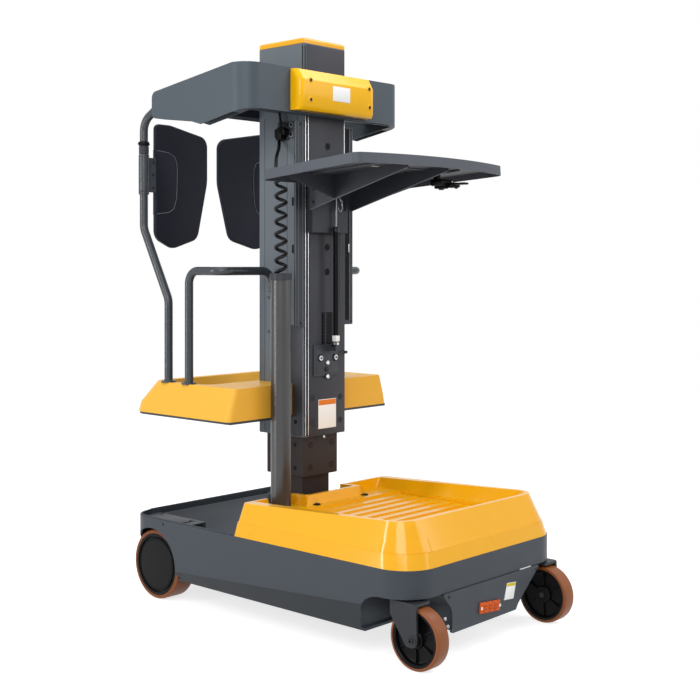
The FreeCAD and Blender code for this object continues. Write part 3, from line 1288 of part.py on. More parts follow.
def gate_sleeve(side, sign):
    """Sleeve that turns on the post, with the arm that carries the panel."""
    height = size("sleeve_top") - size("sleeve_bottom")
    low = Vector(0, 0, size("sleeve_bottom"))
    bore = size("tube_radius") + size("hinge_fit")
    ring = Part.makeCylinder(bore + size("sleeve_wall"), height, low)
    reach = size("gate_edge")
    depth = size("gate_wall") - size("sleeve_wall")
    start = 0 if sign < 0 else -reach
    arm = Part.makeBox(reach, depth, height, Vector(start, -depth / 2, size("sleeve_bottom")))
    hole = Part.makeCylinder(bore, height, low)
    return shaped("gate_sleeve_form_" + side, ring.fuse(arm).cut(hole).removeSplitter())


def gates():
    for side, sign in (("left", -1), ("right", 1)):
        axis = Vector(sign * size("post_x"), back("post_back"), 0)
        place = FreeCAD.Placement(axis, FreeCAD.Rotation(UP, -sign * size("gate_swing")))
        panel = gate_panel(side, sign)
        panel.Placement = place
        keep(panel, "gate_panel_" + side)
        sleeve = gate_sleeve(side, sign)
        sleeve.Placement = place
        keep(sleeve, "gate_sleeve_" + side)
        rings = []
        x, y = "%d * post_x" % sign, "front_y + post_back"
        for name, z in (("low", "sleeve_bottom - ring_height - slide_gap"),
                        ("high", "sleeve_top + slide_gap")):
            outside = cylinder("ring_%s_%s" % (name, side), "Z", x, y, z, "tube_radius + sleeve_wall",
                               "ring_height")
            inside = cylinder("ring_hole_%s_%s" % (name, side), "Z", x, y, z + " - 1", "tube_radius",
                              "ring_height + 2")
            rings.append(cut("ring_cut_%s_%s" % (name, side), outside, inside))
        keep(group("ring_pair_" + side, *rings), "post_rings_" + side)


# Load tray

def load_tray():
    tilt = size("tray_tilt")
    half, rear_half = size("tray_half"), size("tray_rear_half")
    front, rear, bow = back("tray_back"), back("tray_rear_back"), size("tray_bow")
    wall, rim, drop = size("tray_wall"), size("tray_rim"), size("tray_floor_drop")

    def block(inset, z, height):
        left = Vector(-half + inset, front + inset, z)
        right = Vector(half - inset, front + inset, z)
        crown = Vector(0, front - bow + inset, z)
        rear_right = Vector(rear_half - inset, rear - inset, z)
        rear_left = Vector(-rear_half + inset, rear - inset, z)
        edges = [Part.Arc(left, crown, right).toShape(),
                 Part.LineSegment(right, rear_right).toShape(),
                 Part.LineSegment(rear_right, rear_left).toShape(),
                 Part.LineSegment(rear_left, left).toShape()]
        solid = Part.Face(Part.Wire(edges)).extrude(Vector(0, 0, height))
        return solid.makeFillet(size("tray_corner") - inset, [e for e in solid.Edges if is_along(e, UP)])

    whole = block(0.0, 0.0, rim)
    below = block(wall, -wall, rim - drop)
    above = block(wall, rim - drop, rim)
    # The floor's middle stands a little proud, clear of the rim
    panel = block(wall + size("tray_panel_inset"), rim - drop - wall / 2, wall / 2 + size("tray_panel_rise"))
    whole = whole.cut(below).cut(above).fuse(panel).removeSplitter()
    # The tray leans to the mast about its front upper edge
    pivot = Vector(0, front, rim)
    whole.Placement = FreeCAD.Placement(UP * (size("tray_top") - rim), FreeCAD.Rotation(ACROSS, -tilt), pivot)
    keep(shaped("tray_form", whole), "tray_shelf")

    plate = box("slider_plate", "-slider_half", "front_y + slider_back", "slider_bottom", "2 * slider_half",
                "slider_depth", "slider_top - slider_bottom")
    shoes = [box("slider_shoe_" + side, x, "front_y + slider_back + slider_depth", "slider_bottom",
                 "slider_half - 2 * rack_half", "outer_back - slide_gap - slider_back - slider_depth",
                 "slider_top - slider_bottom")
             for side, x in (("left", "-slider_half"), ("right", "2 * rack_half"))]
    keep(fuse("slider_whole", plate, *shoes), "tray_slider")
    tray_gussets(whole)


def tray_gussets(tray):
    """Two plates under the tray, each with a flange at the slider and a side wing."""
    slope = math.tan(math.radians(size("tray_tilt")))
    front = back("tray_back")
    thick = size("gusset_wall")
    under = size("tray_top") - size("tray_floor_drop") - size("tray_wall")
    near, far = back("slider_back"), back("gusset_front_back")
    top_near = under - (near - front) * slope
    top_far = under - (far - front) * slope
    low_near = size("gusset_low")
    low_far = top_far - size("gusset_lip")
    wing_y = back("wing_back")
    wing_top = under - (wing_y - front) * slope
    wing_low = low_near + (low_far - low_near) * (near - wing_y) / (near - far)
    plates = []
    for sign in (-1, 1):
        outer = sign * size("gusset_x")
        x = min(outer, outer - sign * thick)
        side = [Vector(x, near, low_near), Vector(x, near, top_near), Vector(x, far, top_far),
                Vector(x, far, low_far)]
        web = Part.Face(Part.makePolygon(side + side[:1])).extrude(Vector(thick, 0, 0))
        inner = outer - sign * size("gusset_flange")
        flange = Part.makeBox(size("gusset_flange"), thick, top_near - low_near,
                              Vector(min(outer, inner), near - thick, low_near))
        end = outer + sign * size("wing_reach")
        wing = [Vector(outer, wing_y, wing_low), Vector(outer, wing_y, wing_top),
                Vector(end, wing_y, wing_top), Vector(end, wing_y, wing_top - size("wing_tip"))]
        fin = Part.Face(Part.makePolygon(wing + wing[:1])).extrude(Vector(0, thick, 0))
        whole = web.fuse([flange, fin]).cut(tray).removeSplitter()
        plates.append(shaped("gusset_plate_%d" % (sign + 1), whole))
    keep(group("gusset_pair", *plates), "tray_gussets")


def strut():
    y = "front_y + strut_back"
    body = cylinder("strut_tube", "Z", "strut_x", y, "strut_bottom", "strut_radius",
                    "strut_top - strut_bottom")
    bore = cylinder("strut_bore", "Z", "strut_x", y, "strut_bottom + eye_height", "rod_radius + rod_fit",
                    "strut_top")
    keep(cut("strut_cylinder", body, bore), "strut_body")
    rod_length = "2 * (rod_top - strut_top) + rod_seat"
    rod = cylinder("rod_bar", "Z", "strut_x", y, "rod_top - (%s)" % rod_length, "rod_radius", rod_length)
    eye = box("rod_eye", "strut_x - eye_half", y + " - eye_half", "rod_top", "2 * eye_half",
              "slider_back - strut_back + eye_half", "eye_height")
    keep(fuse("rod_whole", rod, eye), "strut_rod")
    plate = box("clevis_plate", "-clevis_half", "front_y + outer_back - clevis_wall", "clevis_bottom",
                "2 * clevis_half", "clevis_wall", "clevis_top - clevis_bottom")
    arm = box("clevis_arm_form", "strut_x - clevis_arm", y + " - clevis_arm", "clevis_top - clevis_rise",
              "2 * clevis_arm", "outer_back - strut_back + clevis_arm", "clevis_rise")
    knuckle = box("clevis_knuckle", "strut_x - eye_half", y + " - eye_half", "clevis_top", "2 * eye_half",
                  "2 * eye_half", "strut_bottom - clevis_top")
    keep(fuse("clevis_whole", plate, arm, knuckle), "strut_bracket")


def tray_handle():
    y = "front_y + handle_back"
    foot = box("handle_post", "gusset_x", y + " - handle_foot / 2", "handle_bottom", "lever_height",
               "handle_foot", "handle_rise")
    lever = box("handle_lever", "gusset_x + lever_height / 2", y + " - lever_width / 2", "handle_bottom",
                "lever_reach", "lever_width", "lever_height")
    keep(fuse("handle_whole", foot, lever), "release_handle")


def cable_junction():
    plate = box("junction_plate", "-outer_half - junction_wall", "front_y + junction_back", "plug_bottom",
                "junction_wall", "junction_length", "junction_height")
    block = box("junction_block", "-outer_half - plug_depth", "front_y + plug_back", "plug_bottom",
                "plug_depth", "plug_length", "plug_height")
    keep(fuse("junction_whole", plate, block), "cable_junction")


# Wheels

def drive_wheels():
    y, z = "front_y + drive_back", "drive_radius"
    core = "drive_radius - drive_tread"
    for side, sign in (("left", -1), ("right", 1)):
        start = DRIVE_OUTER + " - drive_width" if sign > 0 else "-" + DRIVE_OUTER
        tyre = cylinder("drive_tyre_out_" + side, "X", start, y, z, "drive_radius", "drive_width")
        bore = cylinder("drive_tyre_in_" + side, "X", start + " - 1", y, z, core, "drive_width + 2")
        keep(cut("drive_tyre_ring_" + side, tyre, bore), "drive_tyre_" + side)
        hub = cylinder("drive_hub_out_" + side, "X", start, y, z, core, "drive_width")
        hole_x = start + " - 1" if sign > 0 else "-%s + hub_dish - hub_gap" % DRIVE_OUTER
        hole = cylinder("drive_hub_in_" + side, "X", hole_x, y, z, "axle_radius + axle_fit",
                        "drive_width - hub_dish + hub_gap + 1")
        keep(cut("drive_hub_disc_" + side, hub, hole), "drive_hub_" + side)
        foot = COVER_HALF + " + pan_wall"
        plate_x = foot if sign > 0 else "-(%s) - axle_plate" % foot
        plate = box("axle_plate_" + side, plate_x, y + " - axle_plate_half", "skirt_bottom + skirt_wall",
                    "axle_plate", "2 * axle_plate_half",
                    "drive_radius + axle_plate_rise - skirt_bottom - skirt_wall")
        shaft_x = foot if sign > 0 else "-%s + hub_dish" % DRIVE_OUTER
        shaft = cylinder("axle_shaft_" + side, "X", shaft_x, y, z, "axle_radius",
                         "%s - hub_dish - (%s)" % (DRIVE_OUTER, foot))
        keep(fuse("axle_whole_" + side, plate, shaft), "drive_axle_" + side)


def caster_wheel(side, start):
    y, z = "front_y + caster_back", "caster_radius"
    core = "caster_radius - caster_tread"
    tyre = cylinder("caster_tyre_out_" + side, "X", start, y, z, "caster_radius", "caster_width")
    bore = cylinder("caster_tyre_in_" + side, "X", start + " - 1", y, z, core, "caster_width + 2")
    keep(cut("caster_tyre_ring_" + side, tyre, bore), "caster_tyre_" + side)
    disc = cylinder("caster_hub_out_" + side, "X", start, y, z, core, "caster_width")
    hole = cylinder("caster_hub_in_" + side, "X", start + " - 1", y, z, "caster_axle_radius + axle_fit",
                    "caster_width + 2")
    keep(cut("caster_hub_disc_" + side, disc, hole), "caster_hub_" + side)


def caster_fork(side, sign):
    """One bent plate over the wheel, its leg outside the wheel, with kingpin and axle."""
    y, z = "front_y + caster_back", "caster_radius"
    pin_y = "front_y + caster_back + caster_trail"
    leg_x = CASTER_X + " + caster_width / 2 + fork_gap"
    leg_start = leg_x if sign > 0 else "-(%s) - fork_plate" % leg_x
    crown_start = leg_start if sign < 0 else CASTER_X + " - caster_width / 2 - fork_gap"
    front, rear = pin_y + " - fork_front", pin_y + " + fork_rear"
    foot = z + " - fork_eye"
    body = new_body("fork_" + side)
    leg = [(y + " - fork_eye", foot), (y + " + fork_eye", foot), (rear, "fork_top - fork_plate - fork_knee"),
           (rear, "fork_top"), (front, "fork_top")]
    radii = ["fork_eye * 0.95", "fork_eye * 0.75", "fork_round", "fork_round / 2", "fork_round / 2"]
    pad(body, polygon(body, "fork_leg_" + side, "YZ", leg, leg_start, radii), "fork_plate")
    crown = rectangle(crown_start, crown_start + " + caster_width + 2 * fork_gap + fork_plate", front, rear)
    pad(body, polygon(body, "fork_crown_" + side, "XY", crown, "fork_top - fork_plate",
                      ["fork_round / 2"] * 4), "fork_plate")
    pin = circle(body, "fork_pin_" + side, "XY", "%d * %s" % (sign, CASTER_X), pin_y, "kingpin_radius",
                 "fork_top - 1")
    pad(body, pin, "mount_bottom - fork_top + 1 - slide_gap")
    axle_start = leg_start if sign < 0 else CASTER_X + " - caster_width / 2 - fork_gap / 2"
    axle = circle(body, "fork_axle_" + side, "YZ", y, z, "caster_axle_radius", axle_start)
    pad(body, axle, "caster_width + 1.5 * fork_gap + fork_plate")
    keep(body, "caster_fork_" + side)


def caster_mount(side, sign):
    """Plate in the skirt that carries the kingpin, its corner round like the skirt's."""
    width = "skirt_width / 2 - skirt_wall - mount_inner"
    mount_x = "-skirt_width / 2 + skirt_wall" if sign < 0 else "mount_inner"
    plate = box("mount_plate_form_" + side, mount_x, "front_y + skirt_wall", "mount_bottom", width,
                "arch_back - skirt_wall", "mount_plate")
    corner = box("mount_waste_" + side, "-skirt_width / 2" if sign < 0 else "skirt_width / 2 - skirt_corner",
                 "front_y", "mount_bottom - 1", "skirt_corner", "skirt_corner", "mount_plate + 2")
    disc = cylinder("mount_round_" + side, "Z", "%d * (skirt_width / 2 - skirt_corner)" % sign,
                    "front_y + skirt_corner", "mount_bottom - 2", "skirt_corner - skirt_wall",
                    "mount_plate + 4")
    keep(cut("mount_body_" + side, plate, cut("mount_trim_" + side, corner, disc)), "caster_mount_" + side)


def casters():
    for side, sign in (("left", -1), ("right", 1)):
        caster_wheel(side, "%d * %s - caster_width / 2" % (sign, CASTER_X))
        caster_fork(side, sign)
        caster_mount(side, sign)


chassis_shell()
front_panel()
battery()
rear_pan()
wheel_covers()
load_deck()
mast_inner()
mast_middle()
mast_outer()
tray_guides()
conduit()
cord_lead()
platform()
platform_base()
posts_and_rails()
console_band()
capacity_box()
operator_console()
gates()
load_tray()
strut()
tray_handle()
cable_junction()
drive_wheels()
casters()
doc.recompute()

for thing in doc.Objects:
    if "Invalid" in thing.State or "Error" in thing.State:
        raise ValueError("%s did not compute: %s" % (thing.Label, thing.State))

os.makedirs("parts", exist_ok=True)
for part in PARTS:
    shape = part.Shape
    if shape.isNull() or not shape.isValid():
        raise ValueError("%s has no valid shape" % part.Label)
    shape.exportStep(os.path.join("parts", part.Label + ".step"))
print("wrote %d sub-parts" % len(PARTS))
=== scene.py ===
from math import atan2, copysign, cos, pi, radians, sin, tan

import bmesh
import bpy
from mathutils import Matrix, Vector


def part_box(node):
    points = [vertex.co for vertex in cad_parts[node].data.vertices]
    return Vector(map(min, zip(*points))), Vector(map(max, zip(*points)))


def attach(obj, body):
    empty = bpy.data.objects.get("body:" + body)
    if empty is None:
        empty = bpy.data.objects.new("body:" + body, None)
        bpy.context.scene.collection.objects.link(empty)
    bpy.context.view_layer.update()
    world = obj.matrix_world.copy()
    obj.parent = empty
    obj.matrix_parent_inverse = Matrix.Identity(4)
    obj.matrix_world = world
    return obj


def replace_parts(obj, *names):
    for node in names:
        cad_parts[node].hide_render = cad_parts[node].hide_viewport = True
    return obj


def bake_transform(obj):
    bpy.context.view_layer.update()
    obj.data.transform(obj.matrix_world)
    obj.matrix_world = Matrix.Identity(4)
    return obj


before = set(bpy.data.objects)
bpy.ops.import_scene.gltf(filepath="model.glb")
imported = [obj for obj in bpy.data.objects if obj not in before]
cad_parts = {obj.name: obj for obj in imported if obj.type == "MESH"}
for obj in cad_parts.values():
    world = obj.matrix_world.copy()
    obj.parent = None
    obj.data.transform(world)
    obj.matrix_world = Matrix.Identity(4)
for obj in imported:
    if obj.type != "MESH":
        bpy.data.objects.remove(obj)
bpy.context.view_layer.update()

# Places: millimetres, measured behind the skirt's front face and turned into the frame's metres

CASTER_RADIUS = 87.5
CASTER_AXLE_BACK = 14
FRONT_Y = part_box("caster_tyre_left")[0].y + (CASTER_RADIUS - CASTER_AXLE_BACK) / 1000


def place(x, back, z):
    """Point from a distance behind the skirt's front face, in millimetres."""
    return Vector((x / 1000, FRONT_Y + back / 1000, z / 1000))


# Materials

def srgb(red, green, blue, share=1):
    """Linear colour of a display colour given as 0 to 255, times a share."""
    parts = [c / 255 for c in (red, green, blue)]
    linear = [c / 12.92 if c <= 0.04045 else ((c + 0.055) / 1.055) ** 2.4 for c in parts]
    return [c * share for c in linear] + [1]


STAIN_LOOK = {"Scale": 14, "Detail": 6, "Roughness": 0.65}
# Ranges that the worn edges, the painted shade on downward faces and the gloss are read from
WORN_RANGE = {"From Min": 0.54, "From Max": 0.66}
UNDER_SHADE_RANGE = {"From Min": -0.04, "From Max": -0.14}
GLOSS_RANGE = {"From Min": 0.3, "From Max": 0.7}
COAT_ROUGHNESS = 0.12
WORN_LIFT = 60
UNDER_SHADE_SHARE = 0.1
GRAIN_DEPTH = 0.0006


def set_inputs(node, inputs):
    """The node, with values given to its named inputs."""
    for name, value in inputs.items():
        node.inputs[name].default_value = value
    return node


def node_with(nodes, kind, inputs):
    return set_inputs(nodes.new(kind), inputs)


def colour_mix(nodes, second):
    """New colour mix with its second colour set."""
    mix = nodes.new("ShaderNodeMix")
    mix.data_type = "RGBA"
    mix.inputs["B"].default_value = second
    return mix


def material(name, colour, roughness, metallic=0, coat=0, grain=0, grain_scale=900, mottle=0.08,
             worn=0, brushed=False, specular=0.25, under_shade=0):
    """Surface with a fine grain, slight stains, lighter worn edges, and painted shade that darkens its
    downward faces.
    """
    made = bpy.data.materials.new(name)
    made.use_nodes = True
    nodes, links = made.node_tree.nodes, made.node_tree.links
    shader = set_inputs(nodes["Principled BSDF"], {
        "Metallic": metallic, "Coat Weight": coat, "Coat Roughness": COAT_ROUGHNESS,
        "Specular IOR Level": 0.5 if metallic else specular})
    where = nodes.new("ShaderNodeTexCoord")

    stains = node_with(nodes, "ShaderNodeTexNoise", STAIN_LOOK)
    links.new(where.outputs["Object"], stains.inputs["Vector"])
    tone = colour_mix(nodes, srgb(*colour, 1 + mottle))
    tone.inputs["A"].default_value = srgb(*colour, 1 - mottle)
    links.new(stains.outputs["Fac"], tone.inputs["Factor"])
    shown = tone.outputs["Result"]
    if worn:
        shape = nodes.new("ShaderNodeNewGeometry")
        edge = node_with(nodes, "ShaderNodeMapRange", {**WORN_RANGE, "To Max": worn})
        links.new(shape.outputs["Pointiness"], edge.inputs["Value"])
        rubbed = colour_mix(nodes, srgb(*[min(255, c + WORN_LIFT) for c in colour]))
        links.new(edge.outputs["Result"], rubbed.inputs["Factor"])
        links.new(shown, rubbed.inputs["A"])
        shown = rubbed.outputs["Result"]
    # Painted shade: faces that look down are darkened towards a small share of the colour, standing in for
    # the shade under the object and its lower edges.
    if under_shade:
        facing = nodes.new("ShaderNodeNewGeometry")
        parts = nodes.new("ShaderNodeSeparateXYZ")
        links.new(facing.outputs["True Normal"], parts.inputs["Vector"])
        down = node_with(nodes, "ShaderNodeMapRange", {**UNDER_SHADE_RANGE, "To Max": under_shade})
        links.new(parts.outputs["Z"], down.inputs["Value"])
        under_shaded = colour_mix(nodes, srgb(*colour, UNDER_SHADE_SHARE))
        links.new(down.outputs["Result"], under_shaded.inputs["Factor"])
        links.new(shown, under_shaded.inputs["A"])
        shown = under_shaded.outputs["Result"]
    links.new(shown, shader.inputs["Base Color"])

    rough_range = {"To Min": max(0.05, roughness - 0.05), "To Max": roughness + 0.06}
    gloss = node_with(nodes, "ShaderNodeMapRange", {**GLOSS_RANGE, **rough_range})
    links.new(stains.outputs["Fac"], gloss.inputs["Value"])
    links.new(gloss.outputs["Result"], shader.inputs["Roughness"])

    bump = node_with(nodes, "ShaderNodeBump", {"Strength": grain, "Distance": GRAIN_DEPTH})
    fine = node_with(nodes, "ShaderNodeTexNoise", {"Scale": grain_scale, "Detail": 3})
    if brushed:
        stretch = node_with(nodes, "ShaderNodeMapping", {"Scale": (1, 1, 0.02)})
        links.new(where.outputs["Object"], stretch.inputs["Vector"])
        links.new(stretch.outputs["Vector"], fine.inputs["Vector"])
    else:
        links.new(where.outputs["Object"], fine.inputs["Vector"])
    links.new(fine.outputs["Fac"], bump.inputs["Height"])
    links.new(bump.outputs["Normal"], shader.inputs["Normal"])
    return made


# The chassis, band and tray darken their downward faces as painted shade.
PAINT = {
    "chassis": material("chassis_grey", (58, 64, 71), 0.46, grain=0.25, worn=0.12, under_shade=0.6),
    "cover": material("cover_yellow", (234, 166, 0), 0.30, coat=0.7, grain=0.04, mottle=0.03, worn=0.05,
                      specular=0.05),
    "box": material("box_yellow", (250, 186, 0), 0.26, coat=0.3, grain=0.04, mottle=0.03, specular=0.1),
    "platform": material("platform_yellow", (232, 174, 60), 0.38, grain=0.1, mottle=0.03, specular=0.2),
    "panel": material("dark_panel", (25, 28, 39), 0.55, grain=0.35, specular=0.15),
    "mast": material("mast_grey", (54, 57, 64), 0.42, grain=0.12, worn=0.12),
    "mast front": material("mast_front_grey", (56, 57, 64), 0.42, grain=0.12, specular=0.2),
    "mast side": material("mast_side_grey", (94, 102, 109), 0.44, grain=0.12, worn=0.1),
    # Near black paint for the mast's front corner above the band: painted shade for the dark gradient on that
    # rounded corner.
    "mast edge shade": material("mast_edge_shade_grey", (22, 22, 25), 0.35, grain=0.1, specular=0.2),
    "stage": material("stage_brown_grey", (48, 40, 39), 0.44, grain=0.12, worn=0.1, specular=0.15),
    "band": material("band_grey", (70, 79, 87), 0.46, grain=0.2, worn=0.08, under_shade=0.3),
    "steel": material("steel", (172, 175, 178), 0.32, metallic=0.9, grain=0.1, brushed=True),
    "rod": material("rod_steel", (120, 122, 126), 0.22, metallic=1, grain=0.05, brushed=True),
    "aluminium": material("aluminium", (212, 214, 217), 0.28, metallic=0.9, grain=0.08, brushed=True),
    "tray": material("tray_grey", (76, 80, 88), 0.50, grain=0.3, worn=0.12, under_shade=0.45),
    "tube": material("tube_grey", (46, 51, 57), 0.28, grain=0.02, mottle=0.04, specular=0.5),
    "fork": material("fork_grey", (42, 44, 48), 0.44, grain=0.2, worn=0.12),
    "pan": material("pan_grey", (94, 99, 106), 0.46, grain=0.2),
    "tyre": material("brown_tyre", (134, 76, 40), 0.40, grain=0.2, grain_scale=500, mottle=0.1),
    "hub": material("black_hub", (12, 12, 14), 0.34, grain=0.08, worn=0.06, specular=0.1),
    "cord": material("black_cord", (14, 14, 16), 0.40, grain=0.15, specular=0.2),
    "conduit": material("conduit_grey", (29, 29, 32), 0.32, grain=0, mottle=0.02, specular=0.8),
    "mat": material("mat_black", (30, 31, 33), 0.8, grain=0.6, grain_scale=300),
    "black": material("matt_black", (10, 10, 12), 0.5, grain=0.2, specular=0.1),
    "white": material("plate_white", (244, 244, 242), 0.45, grain=0.05, mottle=0.01, specular=0.1),
    "orange": material("connector_orange", (206, 92, 34), 0.42, grain=0.15, specular=0.15),
    "label orange": material("label_orange", (224, 124, 44), 0.45, grain=0.05, mottle=0.03, specular=0.15),
    "label yellow": material("label_yellow", (214, 196, 44), 0.45, grain=0.05, mottle=0.03, specular=0.15),
    "screw": material("dark_screw", (34, 35, 38), 0.32, metallic=0.6, grain=0.1),
}

# Nodes by their paint; a name that ends in an underscore has a left and a right node
NODES_BY_PAINT = {
    "chassis": ["chassis_shell", "front_panel", "wheel_cover_", "platform_base", "caster_mount_"],
    "cover": ["load_deck", "mast_cap", "operator_grips"],
    "pan": ["rear_pan"],
    "steel": ["battery_block", "drive_axle_"],
    "stage": ["mast_inner", "mast_middle"],
    "mast side": ["mast_outer"],
    "mast front": ["conduit_collar"],
    "mast": ["tray_guide_", "locking_rack", "band_shelf", "tray_slider", "tray_gussets", "strut_bracket"],
    "conduit": ["cable_conduit"],
    "cord": ["curly_cord", "cord_lead"],
    "platform": ["platform_shell"],
    "mat": ["floor_mat"],
    "tube": ["post_", "post_rings_", "rail_", "gate_sleeve_"],
    "band": ["console_band"],
    "box": ["capacity_box"],
    "panel": ["operator_console", "gate_panel_"],
    "tray": ["tray_shelf"],
    "rod": ["strut_rod"],
    "hub": ["strut_body", "release_handle", "cable_junction", "drive_hub_", "caster_hub_"],
    "tyre": ["drive_tyre_", "caster_tyre_"],
    "fork": ["caster_fork_"],
}

SMOOTH_ANGLE = radians(32)
EDGE_WIDTH, EDGE_SEGMENTS = 0.0012, 2
# The deck's shallow belt edges stay crisp, as a rounded edge would fold over its short corner faces
CRISP_BELT = {"load_deck": radians(60)}


def soften(piece, limit):
    """Smooth shading and rounded edges for a CAD piece, its mesh left as it is."""
    mesh = piece.data
    if "custom_normal" in mesh.attributes:
        mesh.attributes.remove(mesh.attributes["custom_normal"])
    mesh.shade_smooth()
    weld = piece.modifiers.new("weld", "WELD")
    weld.merge_threshold = 0.00001
    bevel = piece.modifiers.new("edges", "BEVEL")
    bevel.width = EDGE_WIDTH
    bevel.segments = EDGE_SEGMENTS
    bevel.limit_method = "ANGLE"
    bevel.angle_limit = limit
    if limit == SMOOTH_ANGLE:
        bevel.harden_normals = True
    else:
        split = piece.modifiers.new("crisp", "EDGE_SPLIT")
        split.split_angle = SMOOTH_ANGLE


def dress_nodes():
    for paint, names in NODES_BY_PAINT.items():
        for name in names:
            for side in ("left", "right") if name.endswith("_") else ("",):
                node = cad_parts[name + side]
                node.data.materials.clear()
                node.data.materials.append(PAINT[paint])
                soften(node, CRISP_BELT.get(name, SMOOTH_ANGLE))


# Forms in mesh code, in the millimetres of place()

AXES = {"X": Vector((1, 0, 0)), "Y": Vector((0, 1, 0)), "Z": Vector((0, 0, 1))}
SIDES = (("left", -1), ("right", 1))


def turn_by(degrees, axis):
    return Matrix.Rotation(radians(degrees), 4, axis)


def turn_to(axis, sign=1):
    """Rotation that takes the Z axis to the named axis."""
    return Vector((0, 0, 1)).rotation_difference(AXES[axis] * sign).to_matrix().to_4x4()


def add_object(name, data):
    made = bpy.data.objects.new(name, data)
    bpy.context.scene.collection.objects.link(made)
    return made


class Form:
    """One piece built up from rounded blocks, turned forms, plates and tubes, each with its paint."""

    def __init__(self):
        self.mesh = bmesh.new()
        self.paints = []

    def take(self, made, paint, matrix=Matrix.Identity(4)):
        """Add the faces of a finished shape."""
        if paint not in self.paints:
            self.paints.append(paint)
        index = self.paints.index(paint)
        for face in made.faces:
            face.material_index = index
            face.smooth = True
        made.transform(matrix)
        held = bpy.data.meshes.new("held")
        made.to_mesh(held)
        made.free()
        self.mesh.from_mesh(held)
        bpy.data.meshes.remove(held)

    def block(self, paint, centre, size, radius=1.5, turn=None, steps=2):
        """Rounded block about its centre; turn is a rotation matrix."""
        made = bmesh.new()
        bmesh.ops.create_cube(made, size=1)
        bmesh.ops.scale(made, vec=[s / 1000 for s in size], verts=made.verts)
        bmesh.ops.bevel(made, geom=list(made.edges), offset=min(radius, min(size) * 0.45) / 1000,
                        segments=steps, profile=0.5, affect="EDGES")
        self.take(made, paint, Matrix.Translation(place(*centre)) @ (turn or Matrix.Identity(4)))

    def turned(self, paint, centre, axis, profile, sign=1, steps=32, turn=None):
        """Form turned about an axis through centre; the profile is (radius, along), in order."""
        made = bmesh.new()
        rings = []
        for radius, along in profile:
            if radius < 0.001:
                rings.append([made.verts.new((0, 0, along / 1000))])
                continue
            ring = []
            for k in range(steps):
                angle = 2 * pi * k / steps
                x, y = radius * cos(angle), radius * sin(angle)
                ring.append(made.verts.new((x / 1000, y / 1000, along / 1000)))
            rings.append(ring)
        for low, high in zip(rings, rings[1:]):
            for k in range(steps):
                after = (k + 1) % steps
                around = [low[k % len(low)], low[after % len(low)],
                          high[after % len(high)], high[k % len(high)]]
                made.faces.new(list(dict.fromkeys(around)))
        bmesh.ops.recalc_face_normals(made, faces=made.faces)
        self.take(made, paint, Matrix.Translation(place(*centre)) @ (turn or turn_to(axis, sign)))

    def plate(self, paint, outline, depth, radius=0.8, matrix=None):
        """Outline of (across, up) pushed along the local Z by depth, its front edge rounded."""
        made = bmesh.new()
        base = [made.verts.new((u / 1000, v / 1000, 0)) for u, v in outline]
        made.faces.new(base)
        grown = bmesh.ops.extrude_face_region(made, geom=list(made.faces))
        front = [v for v in grown["geom"] if isinstance(v, bmesh.types.BMVert)]
        bmesh.ops.translate(made, vec=(0, 0, depth / 1000), verts=front)
        rim = [e for e in made.edges if all(abs(v.co.z - depth / 1000) < 1e-7 for v in e.verts)]
        bmesh.ops.bevel(made, geom=rim, offset=radius / 1000, segments=2, profile=0.5, affect="EDGES")
        bmesh.ops.recalc_face_normals(made, faces=made.faces)
        self.take(made, paint, matrix)

    def screw(self, centre, axis, sizes, sign=1, steps=20, turn=None):
        """Screw head, its sizes as head() takes them."""
        self.turned("screw", centre, axis, head(*sizes), sign, steps, turn)

    def plates(self, rows, face):
        """Upright plates from rows of paint, left, right, foot, top, depth and edge radius."""
        for paint, left, right, foot, top, depth, radius in rows:
            self.plate(paint, corners(left, right, foot, top), depth, radius, face)

    def tube(self, paint, points, radius, sides=10, rounds=True):
        """Round tube along points of place(), its run smoothed if asked, its ends closed."""
        line = smooth_line([place(*p) for p in points]) if rounds else [place(*p) for p in points]
        self.take(tube_mesh(line, radius / 1000, sides), paint)

    def finish(self, name, body):
        """Object from the collected faces, which rides on the body."""
        mesh = bpy.data.meshes.new(name)
        self.mesh.to_mesh(mesh)
        self.mesh.free()
        for paint in self.paints:
            mesh.materials.append(PAINT[paint])
        mesh.set_sharp_from_angle(angle=SMOOTH_ANGLE)
        piece = add_object(name, mesh)
        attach(piece, body)
        return piece


def smooth_line(points, steps=6):
    """Points along a smooth curve through all the given ones."""
    line = []
    ends = [2 * points[0] - points[1]] + points + [2 * points[-1] - points[-2]]
    for a, b, c, d in zip(ends, ends[1:], ends[2:], ends[3:]):
        for k in range(steps):
            t = k / steps
            line.append(0.5 * (2 * b + (c - a) * t + (2 * a - 5 * b + 4 * c - d) * t ** 2
                               + (3 * b - a - 3 * c + d) * t ** 3))
    return line + [points[-1]]


def tube_mesh(line, radius, sides):
    """Tube of rings along a line, each ring carried on from the one before without a twist."""
    made = bmesh.new()
    ahead = [(b - a).normalized() for a, b in zip(line, line[1:])]
    ahead.append(ahead[-1])
    across = ahead[0].orthogonal().normalized()
    rings = []
    for k, point in enumerate(line):
        heading = (ahead[max(k - 1, 0)] + ahead[k]).normalized()
        across = (across - heading * across.dot(heading)).normalized()
        up = heading.cross(across)
        ring = []
        for j in range(sides):
            angle = 2 * pi * j / sides
            ring.append(made.verts.new(point + (across * cos(angle) + up * sin(angle)) * radius))
        rings.append(ring)
    for low, high in zip(rings, rings[1:]):
        for j in range(sides):
            after = (j + 1) % sides
            made.faces.new((low[j], low[after], high[after], high[j]))
    made.faces.new(rings[0][::-1])
    made.faces.new(rings[-1])
    return made


def corners(left, right, low, high):
    return [(left, low), (right, low), (right, high), (left, high)]


def circle_spots(x, back, z, radius, count, start=0):
    """Points spread evenly on a level circle, the first at start in degrees."""
    turns = [radians(start) + 2 * pi * k / count for k in range(count)]
    return [(x + radius * cos(turn), back + radius * sin(turn), z) for turn in turns]


def disc(radius, height):
    """Profile of a flat disc."""
    return [(radius, 0), (radius, height), (0, height)]


